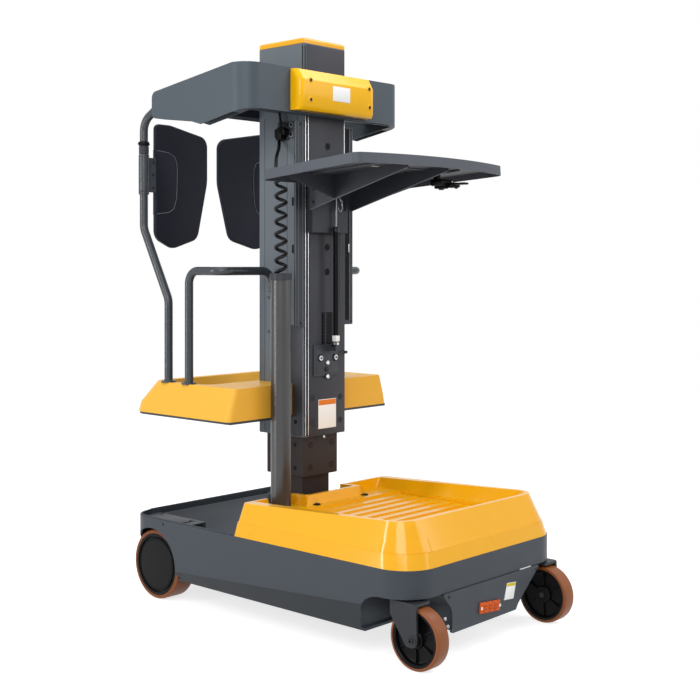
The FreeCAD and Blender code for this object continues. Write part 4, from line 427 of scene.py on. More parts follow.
def head(radius, height, hollow=0):
    """Profile of a screw head, with a recess of that radius in it."""
    soft = height * 0.35
    profile = [(radius, 0), (radius, height - soft), (radius - soft, height)]
    if hollow:
        return profile + [(hollow, height), (hollow * 0.85, height * 0.3), (0, height * 0.3)]
    return profile + [(0, height)]


# Curly cord: a helix in and above the conduit, and its straight end to the plug

COIL_X, COIL_BACK = -195, 690
COIL_BOTTOM, CONDUIT_TOP, COIL_TOP = 372, 1098, 1430.3
COIL_RADIUS, COIL_START = 16.75, radians(135)
CORD_RADIUS, CORD_SIDES = 5.75, 10
TURNS_INSIDE, TURNS_ABOVE = 27, 8
POINTS_A_TURN = 14
# A NURBS curve of order 3 runs inside its control points by this share
HELIX_SPREAD = 4 / (3 + cos(2 * pi / POINTS_A_TURN))

LEAD_POINTS = [(-206, 701, 1452), (-198, 709, 1474), (-176, 727, 1488), (-150, 750, 1500),
               (-124, 772, 1512), (-112, 784, 1538)]


def helix_points():
    """Turns close together inside the conduit and wider above it."""
    points = [(COIL_X, COIL_BACK, COIL_BOTTOM + CORD_RADIUS)]
    count = (TURNS_INSIDE + TURNS_ABOVE) * POINTS_A_TURN
    inside = TURNS_INSIDE * POINTS_A_TURN
    for k in range(count + 1):
        angle = COIL_START + 2 * pi * k / POINTS_A_TURN
        if k <= inside:
            z = COIL_BOTTOM + 2 * CORD_RADIUS + (CONDUIT_TOP - COIL_BOTTOM - 2 * CORD_RADIUS) * k / inside
        else:
            z = CONDUIT_TOP + (COIL_TOP - CONDUIT_TOP) * (k - inside) / (count - inside)
        out = COIL_RADIUS * HELIX_SPREAD
        points.append((COIL_X + out * cos(angle), COIL_BACK + out * sin(angle), z))
    return points


def curly_cord():
    """Cord along a curve through the helix and its straight end."""
    points = helix_points() + LEAD_POINTS
    data = bpy.data.curves.new("cord_line", "CURVE")
    data.dimensions = "3D"
    spline = data.splines.new("NURBS")
    spline.points.add(len(points) - 1)
    for knot, point in zip(spline.points, points):
        knot.co = place(*point).to_4d()
    spline.order_u = 3
    spline.use_endpoint_u = True
    data.resolution_u = 2
    guide = bpy.data.objects.new("cord_line", data)
    read = bpy.data.meshes.new_from_object(guide)
    line = [v.co.copy() for v in read.vertices]
    bpy.data.meshes.remove(read)
    bpy.data.objects.remove(guide)
    bpy.data.curves.remove(data)

    made = tube_mesh(line, CORD_RADIUS / 1000, CORD_SIDES)
    for face in made.faces:
        face.smooth = True
    mesh = bpy.data.meshes.new("curly_cord_helix")
    made.to_mesh(mesh)
    made.free()
    mesh.materials.append(PAINT["cord"])
    piece = add_object("curly_cord_helix", mesh)
    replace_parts(piece, "curly_cord", "cord_lead")
    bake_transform(piece)


# Wheels, which take the place of the plain CAD tyres and hubs

WHEEL_STEPS = 96
# Tyre's shoulder: drop from the tread, inset from the side
SHOULDER = [(5, 0), (2.2, 1.2), (0.6, 3.2), (0, 6.5)]
# Groove in a wide tyre's side: way out from the hub, inset from the side
SIDE_GROOVE = [(2.6, 0), (3.4, 1.6), (4.6, 1.6), (5.4, 0)]

CASTER_X, CASTER_EYE_X = 315, 351
CASTER_WIDTH, CASTER_TREAD = 50, 9
CROWN_BACK, CROWN_Z, CROWN_SCREW_OFFSET = 46, 189, 22
CROWN_RING = [(27, 0), (27, 3.4), (25.4, 5), (22, 5), (20.8, 3.2), (16.2, 3.2), (16.2, 0)]
# Half profile of the caster's hub, and its spokes: count, inner and outer radius, half depth
CASTER_HUB = [(8.4, 24), (13, 24), (14, 22.6), (17, 22.6), (18, 24), (24, 24), (26.5, 21),
              (27, 12), (60, 9), (67, 11), (69, 21.5), (71.5, 24.2), (78.4, 24.2)]
CASTER_SPOKES = (6, 25, 70, 17.5)
SPOKE_WIDTH = 3.6

DRIVE_X, DRIVE_BACK, DRIVE_RADIUS = 317.5, 1129, 115.5
DRIVE_WIDTH, DRIVE_TREAD = 75, 12
DRIVE_BOLTS, BOLT_CIRCLE, BOLT_INSET = 5, 29, 16
# The drive wheel's ring, groove and disc outside, and its inside, which is open round the axle
DRIVE_OUTSIDE = [(103.4, -36), (103.4, 36.2), (99, 37.2), (95.4, 37.2), (94.2, 36.2), (93.2, 31),
                 (89, 31), (88.2, 35.6), (87, 36.6), (84.6, 36.6), (83.8, 35.2), (82.6, 35.2),
                 (81.6, 36.4), (60, 36.9), (0, 37.2)]
DRIVE_INSIDE = [(103.4, -36), (96, -36.4), (93, -33), (91, -8), (40, -4), (38, -14),
                (36, -16), (20, -16), (19, -14), (19, 22), (0, 22)]


def wheel_tyre(name, body, node, centre, radius, width, tread, groove):
    """Tyre with rounded shoulders and, on a wide one, a groove in each side."""
    half = width / 2
    inner = radius - tread
    side = [(inner, 0)]
    if groove:
        side += [(inner + out, -inset) for out, inset in SIDE_GROOVE]
    side += [(radius - drop, -inset) for drop, inset in SHOULDER]
    profile = [(r, half + along) for r, along in side]
    profile += [(r, -half - along) for r, along in reversed(side)] + [(inner, half)]
    form = Form()
    form.turned("tyre", centre, "X", profile, steps=WHEEL_STEPS)
    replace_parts(form.finish(name, body), node)


def caster_hub(side, centre):
    """Hub turned from its half profile, the same on both sides, with spokes."""
    form = Form()
    mirrored = [(r, -along) for r, along in reversed(CASTER_HUB)]
    form.turned("hub", centre, "X", CASTER_HUB + mirrored + CASTER_HUB[:1], steps=WHEEL_STEPS)
    count, start, end, depth = CASTER_SPOKES
    middle = (start + end) / 2
    for k in range(count):
        angle = 2 * pi * (k + 0.5) / count
        spot = (centre[0], centre[1] + middle * cos(angle), centre[2] + middle * sin(angle))
        form.block("hub", spot, (2 * depth, end - start, SPOKE_WIDTH), 1.2, Matrix.Rotation(angle, 4, "X"))
    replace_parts(form.finish("caster_wheel_disc_" + side, "caster_wheel_" + side), "caster_hub_" + side)


def caster_bolts(side, sign):
    """Axle bolt in the fork's eye, and screws and a ring on its crown."""
    form = Form()
    eye = (sign * CASTER_EYE_X, CASTER_AXLE_BACK, CASTER_RADIUS)
    form.turned("fork", eye, "X", head(15, 2.4), sign)
    form.screw((eye[0] + sign * 1.4, eye[1], eye[2]), "X", (9.5, 5.2, 4), sign, steps=6)
    for offset in (-CROWN_SCREW_OFFSET, CROWN_SCREW_OFFSET):
        form.screw((sign * CASTER_X, CROWN_BACK + offset, CROWN_Z), "Z", (6.5, 3.6, 3), steps=32)
    form.turned("hub", (sign * CASTER_X, CROWN_BACK, CROWN_Z + 0.2), "Z", CROWN_RING)
    form.finish("caster_bolts_" + side, "caster_swivel_" + side)


def casters():
    for side, sign in SIDES:
        centre = (sign * CASTER_X, CASTER_AXLE_BACK, CASTER_RADIUS)
        wheel_tyre("caster_tread_" + side, "caster_wheel_" + side, "caster_tyre_" + side, centre,
                   CASTER_RADIUS, CASTER_WIDTH, CASTER_TREAD, False)
        caster_hub(side, centre)
        caster_bolts(side, sign)


def drive_wheels():
    for side, sign in SIDES:
        body = "drive_wheel_" + side
        centre = (sign * DRIVE_X, DRIVE_BACK, DRIVE_RADIUS)
        wheel_tyre("drive_tread_" + side, body, "drive_tyre_" + side, centre, DRIVE_RADIUS, DRIVE_WIDTH,
                   DRIVE_TREAD, True)
        form = Form()
        for profile in (DRIVE_OUTSIDE, DRIVE_INSIDE):
            form.turned("hub", centre, "X", profile, sign, steps=WHEEL_STEPS)
        for k in range(DRIVE_BOLTS):
            angle = 2 * pi * k / DRIVE_BOLTS
            spot = (centre[0] - sign * BOLT_INSET, centre[1] + BOLT_CIRCLE * cos(angle),
                    centre[2] + BOLT_CIRCLE * sin(angle))
            form.screw(spot, "X", (5, 4, 2.4), -sign, steps=6)
        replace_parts(form.finish("drive_wheel_disc_" + side, body), "drive_hub_" + side)


# Mast

MAST_FRONT, MAST_HALF = 682, 98
STAGE_FRONT, STAGE_HALF = 701, 81
BAND_FOOT, MAST_TOP = 1624, 1852
COVER_DEPTH, UPPER_DEPTH = 2.2, 1
COVER_FACE = MAST_FRONT - COVER_DEPTH

# Upright strips on the mast's front: paint, left, right, foot, top, depth, edge radius
MAST_STRIPS = [
    ("mast front", -73, 97, 559.5, 1238, COVER_DEPTH, 0.7),
    ("mast front", -73, 97, 1244, BAND_FOOT, UPPER_DEPTH, 0.5),
    ("black", -96, -73, 562, BAND_FOOT, 0.5, 0.2),
    ("aluminium", -93.7, -90.3, 564, BAND_FOOT, 2.8, 0.8),
    ("aluminium", -80.7, -77.3, 564, BAND_FOOT, 2.8, 0.8),
    ("aluminium", 94.2, 96.6, 1244, BAND_FOOT, 1.9, 0.5),
    ("mast", 26, 28.5, 974, 1236, 3, 0.6),
    ("mast", 70, 72, 974, 1236, 3, 0.6),
    ("mast front", -86, 97.5, BAND_FOOT + 2, MAST_TOP, 0.6, 0.2),
]
# Holes: across, height, depth of the plate they are in
HOLE_RADIUS = 11.5
MAST_HOLES = [(14, 1522, UPPER_DEPTH), (10, 1184, COVER_DEPTH), (10, 1102, COVER_DEPTH)]
# Screws: across, height
COVER_SCREWS = [(-59, 684), (75, 680), (-58, 604), (75, 601)]
STAGE_SCREWS = [(-47, 526), (-47, 452), (55, 526), (55, 452)]
FOOT_BOLT_X, FOOT_BOLT_Z = -5, 552
# Square post at the mast's corner, painted near black as painted shade on the rounded corner: across,
# distance behind the skirt's front, width
SHADED_CORNER_POST = (-92, 688, 13.2)
# Blank label with a header, as for the strips
MAST_LABEL = [("white", -32, 53, 580, 677, 0.5, 0.15),
              ("label orange", -30.5, 51.5, 658, 675.5, 0.7, 0.1)]

RACK_TEETH, RACK_PITCH, RACK_X, RACK_FOOT = 11, 11.2, 1, 849
RACK_SLOT = (-16, 36, 841, 967)
RACK_STRIP_XS, RACK_STRIP_WIDTH, RACK_STRIP_FOOT, RACK_STRIP_TOP = (-10.5, 10.5), 2, 843, 965
RACK_TOOTH = [(5.2, 0), (5.2, 1.6), (4.2, 2.4), (2.6, 2.4), (2.2, 0.8), (0, 0.8)]

LATCH_FACE = 674
STRUT_X, STRUT_BACK = 12, 641
LATCH_RING = [(8.6, 0), (8.6, 1.4), (7.4, 2.2), (5.6, 2.2), (5, 1), (0, 1)]
LATCH_PLATE = (-46, 54, 764, 842)
# Washers on the latch: across, height
LATCH_WASHERS = [(-29, 816), (43, 815)]
# Bolts under the latch: across, height, paint
LATCH_BOLTS = [(3, 799, "aluminium"), (0, 777, "screw"), (3, 753, "aluminium")]
PIN_X, PIN_Z = 54, 829
LOCKING_PIN = [(3.6, 0), (3.6, 36), (5.2, 37), (5.2, 48), (4.2, 50), (0, 50)]
# White sleeve and dark clamp on the strut: height, size
STRUT_SLEEVE_Z, STRUT_SLEEVE = 880.5, (18.8, 18.8, 21)
STRUT_CLAMP_Z, STRUT_CLAMP = 857, (30, 18, 8)
STRUT_NUT_Z, STRUT_GLAND_Z = 860, 1249
STRUT_NUT = [(10.5, 0), (10.5, 6.5), (9, 8), (0, 8)]
STRUT_GLAND = [(10.4, -14), (10.4, 0), (9.4, 2), (5.2, 3), (4.4, 3)]

GUIDE_FOOT, GUIDE_TOP = 925, 1595
# Strips on the two tray guides, as for the mast's
GUIDE_STRIPS = [
    # Painted shadow: the black strip stands for the shadow in the gap between the mast's edge and the right
    # guide.
    ("black", 102, 120, 938, 1588, 0.6, 0.2),
    ("mast side", 121, 124, GUIDE_FOOT, GUIDE_TOP, 1.6, 0.5),
    ("mast side", 134, 137, GUIDE_FOOT, GUIDE_TOP, 1.6, 0.5),
    ("aluminium", 117, 120.5, 1168, 1196, 1.8, 0.6),
    ("mast side", -137.7, -135.3, GUIDE_FOOT, GUIDE_TOP, 1.5, 0.5),
    ("mast side", -124.2, -121.8, GUIDE_FOOT, GUIDE_TOP, 1.5, 0.5),
    ("mast side", -105.2, -102.8, GUIDE_FOOT, GUIDE_TOP, 1.5, 0.5),
]
GUIDE_HOLES = [(-113, 934), (129, 934), (129, 1586), (-113, 1586)]
GUIDE_HOLE_RING = [(5.2, 0), (4.8, 1.1), (3.6, 1.1), (3.4, 0.4)]

SIDE_SLOTS_BACK, SIDE_SLOT_HEIGHTS = 733, (1335, 1178)
SIDE_SEAMS, SEAM_HALF, SEAM_FOOT, SEAM_TOP = (712, 760, 868), 0.9, 562, 1620
# Plates on the sides: near and far distance behind the skirt's front, foot, top
PANEL_FRAME, PANEL_LID = (836, 859, 896, 1020), (837.6, 857.4, 898, 1018)
# The side cover is partly a real darker plate and partly painted shadow: its dark paint also stands for the
# conduit's shadow on the mast's side.
SIDE_COVER_AND_SHADOW = (690, 788, 561, 926)
# Round holes in the side cover and in the middle stage: distance behind the skirt's front, height
SIDE_HOLE = disc(7, 0.8)
COVER_HOLE, STAGE_HOLES = (720, 607), ((741, 527), (741, 450))
PANEL_SCREW_BACK, PANEL_SCREW_HEIGHTS = 847.5, (903, 1013)


def front_face(back=MAST_FRONT):
    """Rotation and place for a plate that faces the load: across is +X, up is +Z, out is -Y."""
    return Matrix.Translation(place(0, back, 0)) @ turn_by(90, "X")


def side_face(x):
    """The same for a plate on the side of x: across is the distance behind the front, times the sign of x."""
    face = Matrix.Translation(place(x, 0, 0)) @ turn_by(-90, "Z") @ turn_by(90, "X")
    return face if x < 0 else face @ turn_by(180, "Y")


def oval(across, up, width, height, steps=8):
    """Outline of an upright slot with round ends."""
    r = width / 2
    points = []
    for centre, start in ((up + height / 2 - r, 0), (up - height / 2 + r, pi)):
        for k in range(steps + 1):
            angle = start + pi * k / steps
            points.append((across + r * cos(angle), centre + r * sin(angle)))
    return points


def bored(form, across, z, radius, back):
    """Round hole in a front plate, with a bright worn edge round its dark bore."""
    form.turned("black", (across, back, z), "Y", disc(radius, 0.9), -1)
    form.turned("mast", (across, back, z), "Y",
                [(radius + 1.6, 0), (radius + 1.2, 1.3), (radius, 1.5), (radius - 0.5, 0.6)], -1)


def ringed_screw(form, paint, across, z, back):
    """Countersunk screw with a dark gap round it."""
    form.turned("black", (across, back, z), "Y", disc(10, 0.5), -1)
    form.turned(paint, (across, back, z), "Y", [(8.2, 0), (8, 0.9), (5.8, 0.9), (5, 0.55)], -1)
    form.screw((across, back, z), "Y", (4.2, 1, 1.8), -1)


def mast_front():
    """Cover plate, aluminium edges, holes, screws and a blank label on the outer stage's front."""
    form = Form()
    form.plates(MAST_STRIPS, front_face())
    # The corner post's near black paint is painted shade on the mast's rounded corner.
    across, back, width = SHADED_CORNER_POST
    form.block("mast edge shade", (across, back, (BAND_FOOT + MAST_TOP) / 2), (width, width, MAST_TOP - BAND_FOOT),
               5.6, steps=5)
    for across, z, depth in MAST_HOLES:
        bored(form, across, z, HOLE_RADIUS, MAST_FRONT - depth)
    for across, z in COVER_SCREWS:
        ringed_screw(form, "mast front", across, z, COVER_FACE)
    form.turned("steel", (FOOT_BOLT_X, MAST_FRONT + 1, FOOT_BOLT_Z), "Y", head(5.6, 6), -1, steps=16)
    form.finish("mast_front_cover", "carriage")

    label = Form()
    label.plates(MAST_LABEL, front_face(COVER_FACE))
    label.finish("mast_blank_label", "carriage")


def rack_slot():
    """Dark slot with the locking rack's round teeth between two strips."""
    form = Form()
    face = front_face(COVER_FACE)
    form.plate("black", corners(*RACK_SLOT), 0.5, 0.2, face)
    for k in range(RACK_TEETH):
        form.turned("mast", (RACK_X, COVER_FACE, RACK_FOOT + RACK_PITCH * k), "Y", RACK_TOOTH, -1, steps=20)
    for left in RACK_STRIP_XS:
        strip = corners(left, left + RACK_STRIP_WIDTH, RACK_STRIP_FOOT, RACK_STRIP_TOP)
        form.plate("screw", strip, 1.8, 0.5, face)
    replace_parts(form.finish("locking_rack_teeth", "carriage"), "locking_rack")


def latch():
    """Bolts and rings of the strut's lower bracket, and the nut and gland of the strut."""
    form = Form()
    form.plate("mast", corners(*LATCH_PLATE), 1, 0.5, front_face(LATCH_FACE))
    for across, z in LATCH_WASHERS:
        form.screw((across, LATCH_FACE - 1.2, z), "Y", (13, 3), -1, steps=32)
        form.turned("aluminium", (across, LATCH_FACE - 4, z), "Y", LATCH_RING, -1)
        form.screw((across, LATCH_FACE - 4, z), "Y", (3.6, 3.4), -1, steps=6)
    for across, z, paint in LATCH_BOLTS:
        form.screw((across, LATCH_FACE - 1.2, z), "Y", (9, 1.6), -1, steps=32)
        form.turned(paint, (across, LATCH_FACE - 2.6, z), "Y", head(7.4, 4.2), -1, steps=20)
    form.turned("screw", (PIN_X, LATCH_FACE + 3, PIN_Z), "X", LOCKING_PIN)
    form.block("white", (STRUT_X, STRUT_BACK, STRUT_SLEEVE_Z), STRUT_SLEEVE, 2)
    form.turned("aluminium", (STRUT_X, STRUT_BACK, STRUT_NUT_Z), "Z", STRUT_NUT, steps=24)
    form.block("screw", (STRUT_X, STRUT_BACK, STRUT_CLAMP_Z), STRUT_CLAMP, 2)
    form.finish("strut_fittings", "carriage")

    gland = Form()
    gland.turned("screw", (STRUT_X, STRUT_BACK, STRUT_GLAND_Z), "Z", STRUT_GLAND, steps=24)
    gland.finish("strut_gland", "carriage")


def guides():
    """Black strip by the right guide that is painted shadow of the gap there, and the ribs and holes of the
    two tray guides.
    """
    form = Form()
    form.plates(GUIDE_STRIPS, front_face())
    for across, z in GUIDE_HOLES:
        form.turned("black", (across, MAST_FRONT, z), "Y", disc(3.6, 0.5), -1, steps=20)
        form.turned("mast", (across, MAST_FRONT, z), "Y", GUIDE_HOLE_RING, -1, steps=20)
    form.finish("tray_guide_trim", "carriage")


def side_strip(form, x, paint, near, far, foot, top, depth, radius):
    """Upright plate on the mast's side at x, between two distances behind the skirt's front."""
    left, right = sorted((copysign(near, x), copysign(far, x)))
    form.plate(paint, corners(left, right, foot, top), depth, radius, side_face(x))


def mast_sides():
    """Slots, seams and the sunk panel on the mast's sides, and the screws of the middle stage."""
    form = Form()
    for sign in (-1, 1):
        x = sign * MAST_HALF
        for z in SIDE_SLOT_HEIGHTS:
            form.plate("black", oval(sign * SIDE_SLOTS_BACK, z, 9, 30), 0.7, 0.2, side_face(x))
        for back in SIDE_SEAMS:
            side_strip(form, x, "mast", back - SEAM_HALF, back + SEAM_HALF, SEAM_FOOT, SEAM_TOP, 0.7, 0.3)
        side_strip(form, x, "mast", *PANEL_FRAME, 0.5, 0.3)
        side_strip(form, x, "mast side", *PANEL_LID, 0.8, 0.3)
        for z in PANEL_SCREW_HEIGHTS:
            form.screw((x, PANEL_SCREW_BACK, z), "X", (3.4, 1.6, 1.5), sign, steps=16)
        # Darker plate on the side: partly its own colour, partly painted shadow of the conduit.
        side_strip(form, x, "mast front", *SIDE_COVER_AND_SHADOW, 1, 0.4)
        form.turned("black", (x + sign, *COVER_HOLE), "X", SIDE_HOLE, sign, steps=24)
    form.finish("mast_side_trim", "carriage")

    lower = Form()
    for sign in (-1, 1):
        for hole in STAGE_HOLES:
            lower.turned("black", (sign * STAGE_HALF, *hole), "X", SIDE_HOLE, sign, steps=24)
    for across, z in STAGE_SCREWS:
        ringed_screw(lower, "stage", across, z, STAGE_FRONT)
    lower.finish("middle_stage_screws", "mid_stage")


# Plug block, its cables and the plate that carries it

PLUG_X, PLUG_BACK, PLUG_TEETH = -115, 773, 14
PLUG_PLATE_X, PLUG_SCREW_BACK = -98.5, 736
PLUG_PLATE = [(-800, 1537), (-757, 1537), (-745, 1546), (-716, 1546), (-716, 1601),
              (-797, 1601), (-800, 1596)]
PLUG_SCREW_HEIGHTS = (1589, 1557)
# Heights of the plug's block, boot, cap and ring of teeth
PLUG_Z, BOOT_Z, CAP_Z, TEETH_Z = 1561, 1546, 1577, 1545.5
PLUG_SCREW_RING = [(9, 0), (8.6, 1.2), (7.4, 1.2), (7, 0.4)]
PLUG_BOOT = [(14, -7), (15.6, -6), (15.6, 5), (14, 6), (12, 6)]
PLUG_CAP = [(14, -7), (15.4, -6), (15.4, 2), (13, 3), (9.5, 3), (8.6, 6)]
FEED_RADIUS = 4.2
FEED_POINTS = [(-115, 773, 1576), (-115, 774, 1596), (-116, 776, 1616), (-117, 777, 1638)]


def plug_block():
    """Plate with its screws, and the socket with a coupling ring and boots above and below it."""
    form = Form()
    form.plate("mast", PLUG_PLATE, 5.4, 0.8, side_face(PLUG_PLATE_X))
    outside = PLUG_PLATE_X - 5
    for z in PLUG_SCREW_HEIGHTS:
        form.turned("aluminium", (outside, PLUG_SCREW_BACK, z), "X", PLUG_SCREW_RING, -1)
        form.screw((outside, PLUG_SCREW_BACK, z), "X", (6.2, 2.6, 2.8), -1)
    form.turned("black", (outside, 752, 1590), "X", disc(5.6, 0.8), -1, steps=24)
    form.block("black", (-116.5, PLUG_BACK, PLUG_Z), (27, 34, 30), 4)
    form.turned("hub", (PLUG_X, PLUG_BACK, BOOT_Z), "Z", PLUG_BOOT, steps=28)
    form.turned("hub", (PLUG_X, PLUG_BACK, CAP_Z), "Z", PLUG_CAP, steps=28)
    for spot in circle_spots(PLUG_X, PLUG_BACK, TEETH_Z, 15.4, PLUG_TEETH):
        form.block("black", spot, (2.4, 2.4, 10), 0.7)
    form.block("hub", (-116, 750, 1566), (22, 12, 22), 3)
    form.screw((-127, 750, 1570), "X", (4.2, 2, 1.8), -1)
    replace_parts(form.finish("plug_socket", "carriage"), "cable_junction")


def feed_cable():
    cable = Form()
    cable.tube("cord", FEED_POINTS, FEED_RADIUS)
    piece = cable.finish("feed_cable", "carriage")


# Box, band and console

BOX_FRONT = 615
BOX_PLATE = (-30, 53, 1664, 1713)
BOX_SCREWS = [(-134, 1721), (149, 1721), (-133, 1658), (151, 1659)]
BOX_SCREW_RING = [(9, 0), (8.4, 1.2), (6.6, 1.6), (5.8, 0.6)]

# The console's sloping top: its front end's place and height, its length and its drop
CONSOLE_FRONT, CONSOLE_TOP, CONSOLE_LENGTH, CONSOLE_DROP = 894, 1742, 105, 52
DISPLAY_BACK, DISPLAY, SCREEN = 945, (96, 62, 7), (84, 50, 3)
BUTTONS = [(-76, "orange"), (76, "label yellow")]
CONSOLE_SCREW_BACK, CONSOLE_SCREW_XS = 905, (-196, -104, 104, 196)
BUTTON_BASE = [(14, -2), (14, 3), (12.6, 4.4), (0, 4.4)]
BUTTON_TOP = [(9.5, -1), (9.5, 4), (8, 6), (0, 6.4)]


def box_details():
    form = Form()
    form.plate("white", corners(*BOX_PLATE), 1, 0.3, front_face(BOX_FRONT))
    for across, z in BOX_SCREWS:
        form.turned("box", (across, BOX_FRONT, z), "Y", BOX_SCREW_RING, -1)
        form.screw((across, BOX_FRONT, z), "Y", (5.8, 1.8, 2.8), -1)
    form.finish("box_screws_and_plate", "carriage")


def on_console(x, back, proud=0):
    """Point on the console's sloping top, or that far above it."""
    return (x, back, CONSOLE_TOP - CONSOLE_DROP * (back - CONSOLE_FRONT) / CONSOLE_LENGTH + proud)


def console_details():
    """Display, buttons and screws on the operator's side."""
    form = Form()
    slope = Matrix.Rotation(-atan2(CONSOLE_DROP, CONSOLE_LENGTH), 4, "X")
    form.block("black", on_console(0, DISPLAY_BACK, 1.5), DISPLAY, 2.5, slope)
    form.block("stage", on_console(0, DISPLAY_BACK, 4.2), SCREEN, 1, slope)
    for x, paint in BUTTONS:
        form.turned("black", on_console(x, DISPLAY_BACK), "Z", BUTTON_BASE, turn=slope)
        form.turned(paint, on_console(x, DISPLAY_BACK, 4), "Z", BUTTON_TOP, turn=slope)
    for x in CONSOLE_SCREW_XS:
        form.screw(on_console(x, CONSOLE_SCREW_BACK), "Z", (4, 1.6, 2), steps=16, turn=slope)
    form.finish("console_controls", "carriage")


# Gates, posts and rails

POST_X, POST_BACK = 335, 1221
GATE_REST_DEGREES = 6.1
# Outline of the raised field: distance from the hinge, height
GATE_LINE = [(53, 1302), (110, 1309), (134, 1322), (147, 1356), (150.5, 1405),
             (151.5, 1455), (149, 1486), (138, 1507), (108, 1518), (53, 1522)]
# In metres: how far the fields, their lighter beads (a painted highlight on the fields' raised edges) and the
# hinge screws stand from the gate's middle, the bead's radius and the screws' distance from the hinge
FIELD_OUT, HIGHLIGHT_BEAD_OUT, SCREW_OUT = 0.0088, 0.0102, 0.007
HIGHLIGHT_BEAD_RADIUS, HINGE_SCREW_REACH = 0.0012, 0.038
HINGE_SCREW_HEIGHTS = (1392, 1436, 1480)

SLEEVE_RIDGES, RIDGE_PITCH, RIDGE_FOOT = 5, 5, 1509
WING_COLLAR = [(14, 1534), (18, 1535), (18.6, 1537), (18.6, 1546), (17.6, 1548), (14, 1549)]
FOOT_PLATE = [(25, -1), (25, 2.6), (23.6, 4), (17, 4.6), (14.4, 9), (14, 9.4)]
FOOT_BACKS, FOOT_Z, FOOT_SCREWS, FOOT_CIRCLE = (1087, 981), 732, 4, 20


def gate_pads():
    """Raised field on both faces of each gate, a lighter bead round it as a painted highlight on its raised
    edge, and its hinge screws.
    """
    for side, sign in SIDES:
        hinge = place(sign * POST_X, POST_BACK, 0)
        swing = Matrix.Translation(hinge) @ turn_by(-sign * GATE_REST_DEGREES, "Z")
        outline = [(-sign * u, z) for u, z in GATE_LINE]
        form = Form()
        for face in (-1, 1):
            out = Matrix.Translation((0, face * FIELD_OUT, 0))
            flip = Matrix.Scale(-1, 4, (0, 1, 0)) if face > 0 else Matrix.Identity(4)
            form.plate("panel", outline, 1.8, 1.4, swing @ out @ flip @ turn_by(90, "X"))
            # Painted highlight: a thin lighter bead along the field's outline stands for the light caught by
            # its raised edge.
            highlight_bead = [swing @ Vector((u / 1000, face * HIGHLIGHT_BEAD_OUT, z / 1000)) for u, z in outline]
            form.take(tube_mesh(highlight_bead, HIGHLIGHT_BEAD_RADIUS, 6), "mast side")
        for z in HINGE_SCREW_HEIGHTS:
            for face in (-1, 1):
                spot = swing @ Vector((-sign * HINGE_SCREW_REACH, face * SCREW_OUT, z / 1000))
                local = (spot.x * 1000, (spot.y - FRONT_Y) * 1000, z)
                form.screw(local, "Y", (4.2, 2, 1.8), face, steps=16)
        bmesh.ops.recalc_face_normals(form.mesh, faces=form.mesh.faces)
        form.finish("gate_fields_" + side, "gate_" + side)


def post_collars():
    """Winged collar and ribbed sleeve above each gate's hinge, and the rails' foot plates."""
    sleeve = [(15.6, 1506)]
    for k in range(SLEEVE_RIDGES):
        z = RIDGE_FOOT + RIDGE_PITCH * k
        sleeve += [(17.4, z - 1.2), (17.4, z + 1.2), (16.2, z + 2)]
    sleeve += [(16.4, 1533), (14, 1534)]
    form = Form()
    for sign in (-1, 1):
        x = sign * POST_X
        form.turned("mast", (x, POST_BACK, 0), "Z", sleeve)
        form.turned("hub", (x, POST_BACK, 0), "Z", WING_COLLAR)
        form.block("hub", (x, POST_BACK, 1541.5), (40, 8, 7), 2.5)
        for out in (-20, 20):
            form.turned("hub", (x + out, POST_BACK, 1538), "Z", head(4.4, 8), steps=20)
        for back in FOOT_BACKS:
            form.turned("tube", (x, back, FOOT_Z), "Z", FOOT_PLATE, steps=40)
            for spot in circle_spots(x, back, FOOT_Z + 3, FOOT_CIRCLE, FOOT_SCREWS, 45):
                form.screw(spot, "Z", (2.6, 2.2, 1.2), steps=12)
    form.finish("post_fittings", "carriage")


# Load tray

TRAY_TILT = radians(4)
TRAY_LEAN = Matrix.Rotation(-TRAY_TILT, 4, "X")
TRAY_FRONT, TRAY_UNDERSIDE = 214, 1438
TRAY_SLOTS = [(-187, 350), (-128, 343), (-69, 336)]
SLOT_FACE, SLOT_FRAME = (34, 7, 1.4), (40, 11, 1)
TRAY_SCREW_X, TRAY_SCREW_BACKS = 88, (300, 400, 500, 600)
# Ribs along the tray and across it: place, size
LONG_RIB_X, LONG_RIB_BACK, LONG_RIB = 200, 420, (12, 300, 7)
CROSS_RIB_BACKS, CROSS_RIB = (320, 470), (170, 12, 5)

# Blocks of the release mechanism: paint, centre, size, edge radius
RELEASE_BLOCKS = [
    ("hub", (180, 330, 1392), (58, 46, 22), 5),
    ("black", (204, 300, 1384), (30, 40, 16), 4),
    ("hub", (196, 268, 1387), (26, 60, 7), 3),
    ("black", (224, 322, 1391), (44, 15, 7), 3),
    ("hub", (172, 340, 1413), (18, 18, 32), 3),
]
KNOB_X, KNOB_BACK, KNOB_TEETH, KNOB_RADIUS = 182, 330, 8, 19
KNOB = [(19, 0), (19, -6), (17.5, -8), (9, -8), (8, -12), (0, -12)]
RELEASE_FOOT_X, RELEASE_FOOT_BACK = 172, 340

WIRE_LOOP = [(26, 646, 1366), (27.5, 640, 1350), (34, 636, 1332), (36, 635, 1314),
             (30, 637, 1303), (25, 641, 1312), (24.5, 645, 1334), (26, 648, 1352)]
WIRE_PIN = [(0, 0), (2.8, 1), (2.8, 16), (1.6, 20), (0, 20)]
GUSSET_X, HEM_X, HEM_RADIUS = 100, 98, 2.2
GUSSET_SCREW_BACK, GUSSET_SCREW_HEIGHTS = 636, (1330, 1372)
# The hem's two ends: distance behind the skirt's front, height
GUSSET_HEM = [(652, 1306.5), (238, 1422)]


def under_tray(x, back, drop=0):
    """Point on the underside of the tray's floor, or that far below it."""
    return (x, back, TRAY_UNDERSIDE - (back - TRAY_FRONT) * tan(TRAY_TILT) - drop)


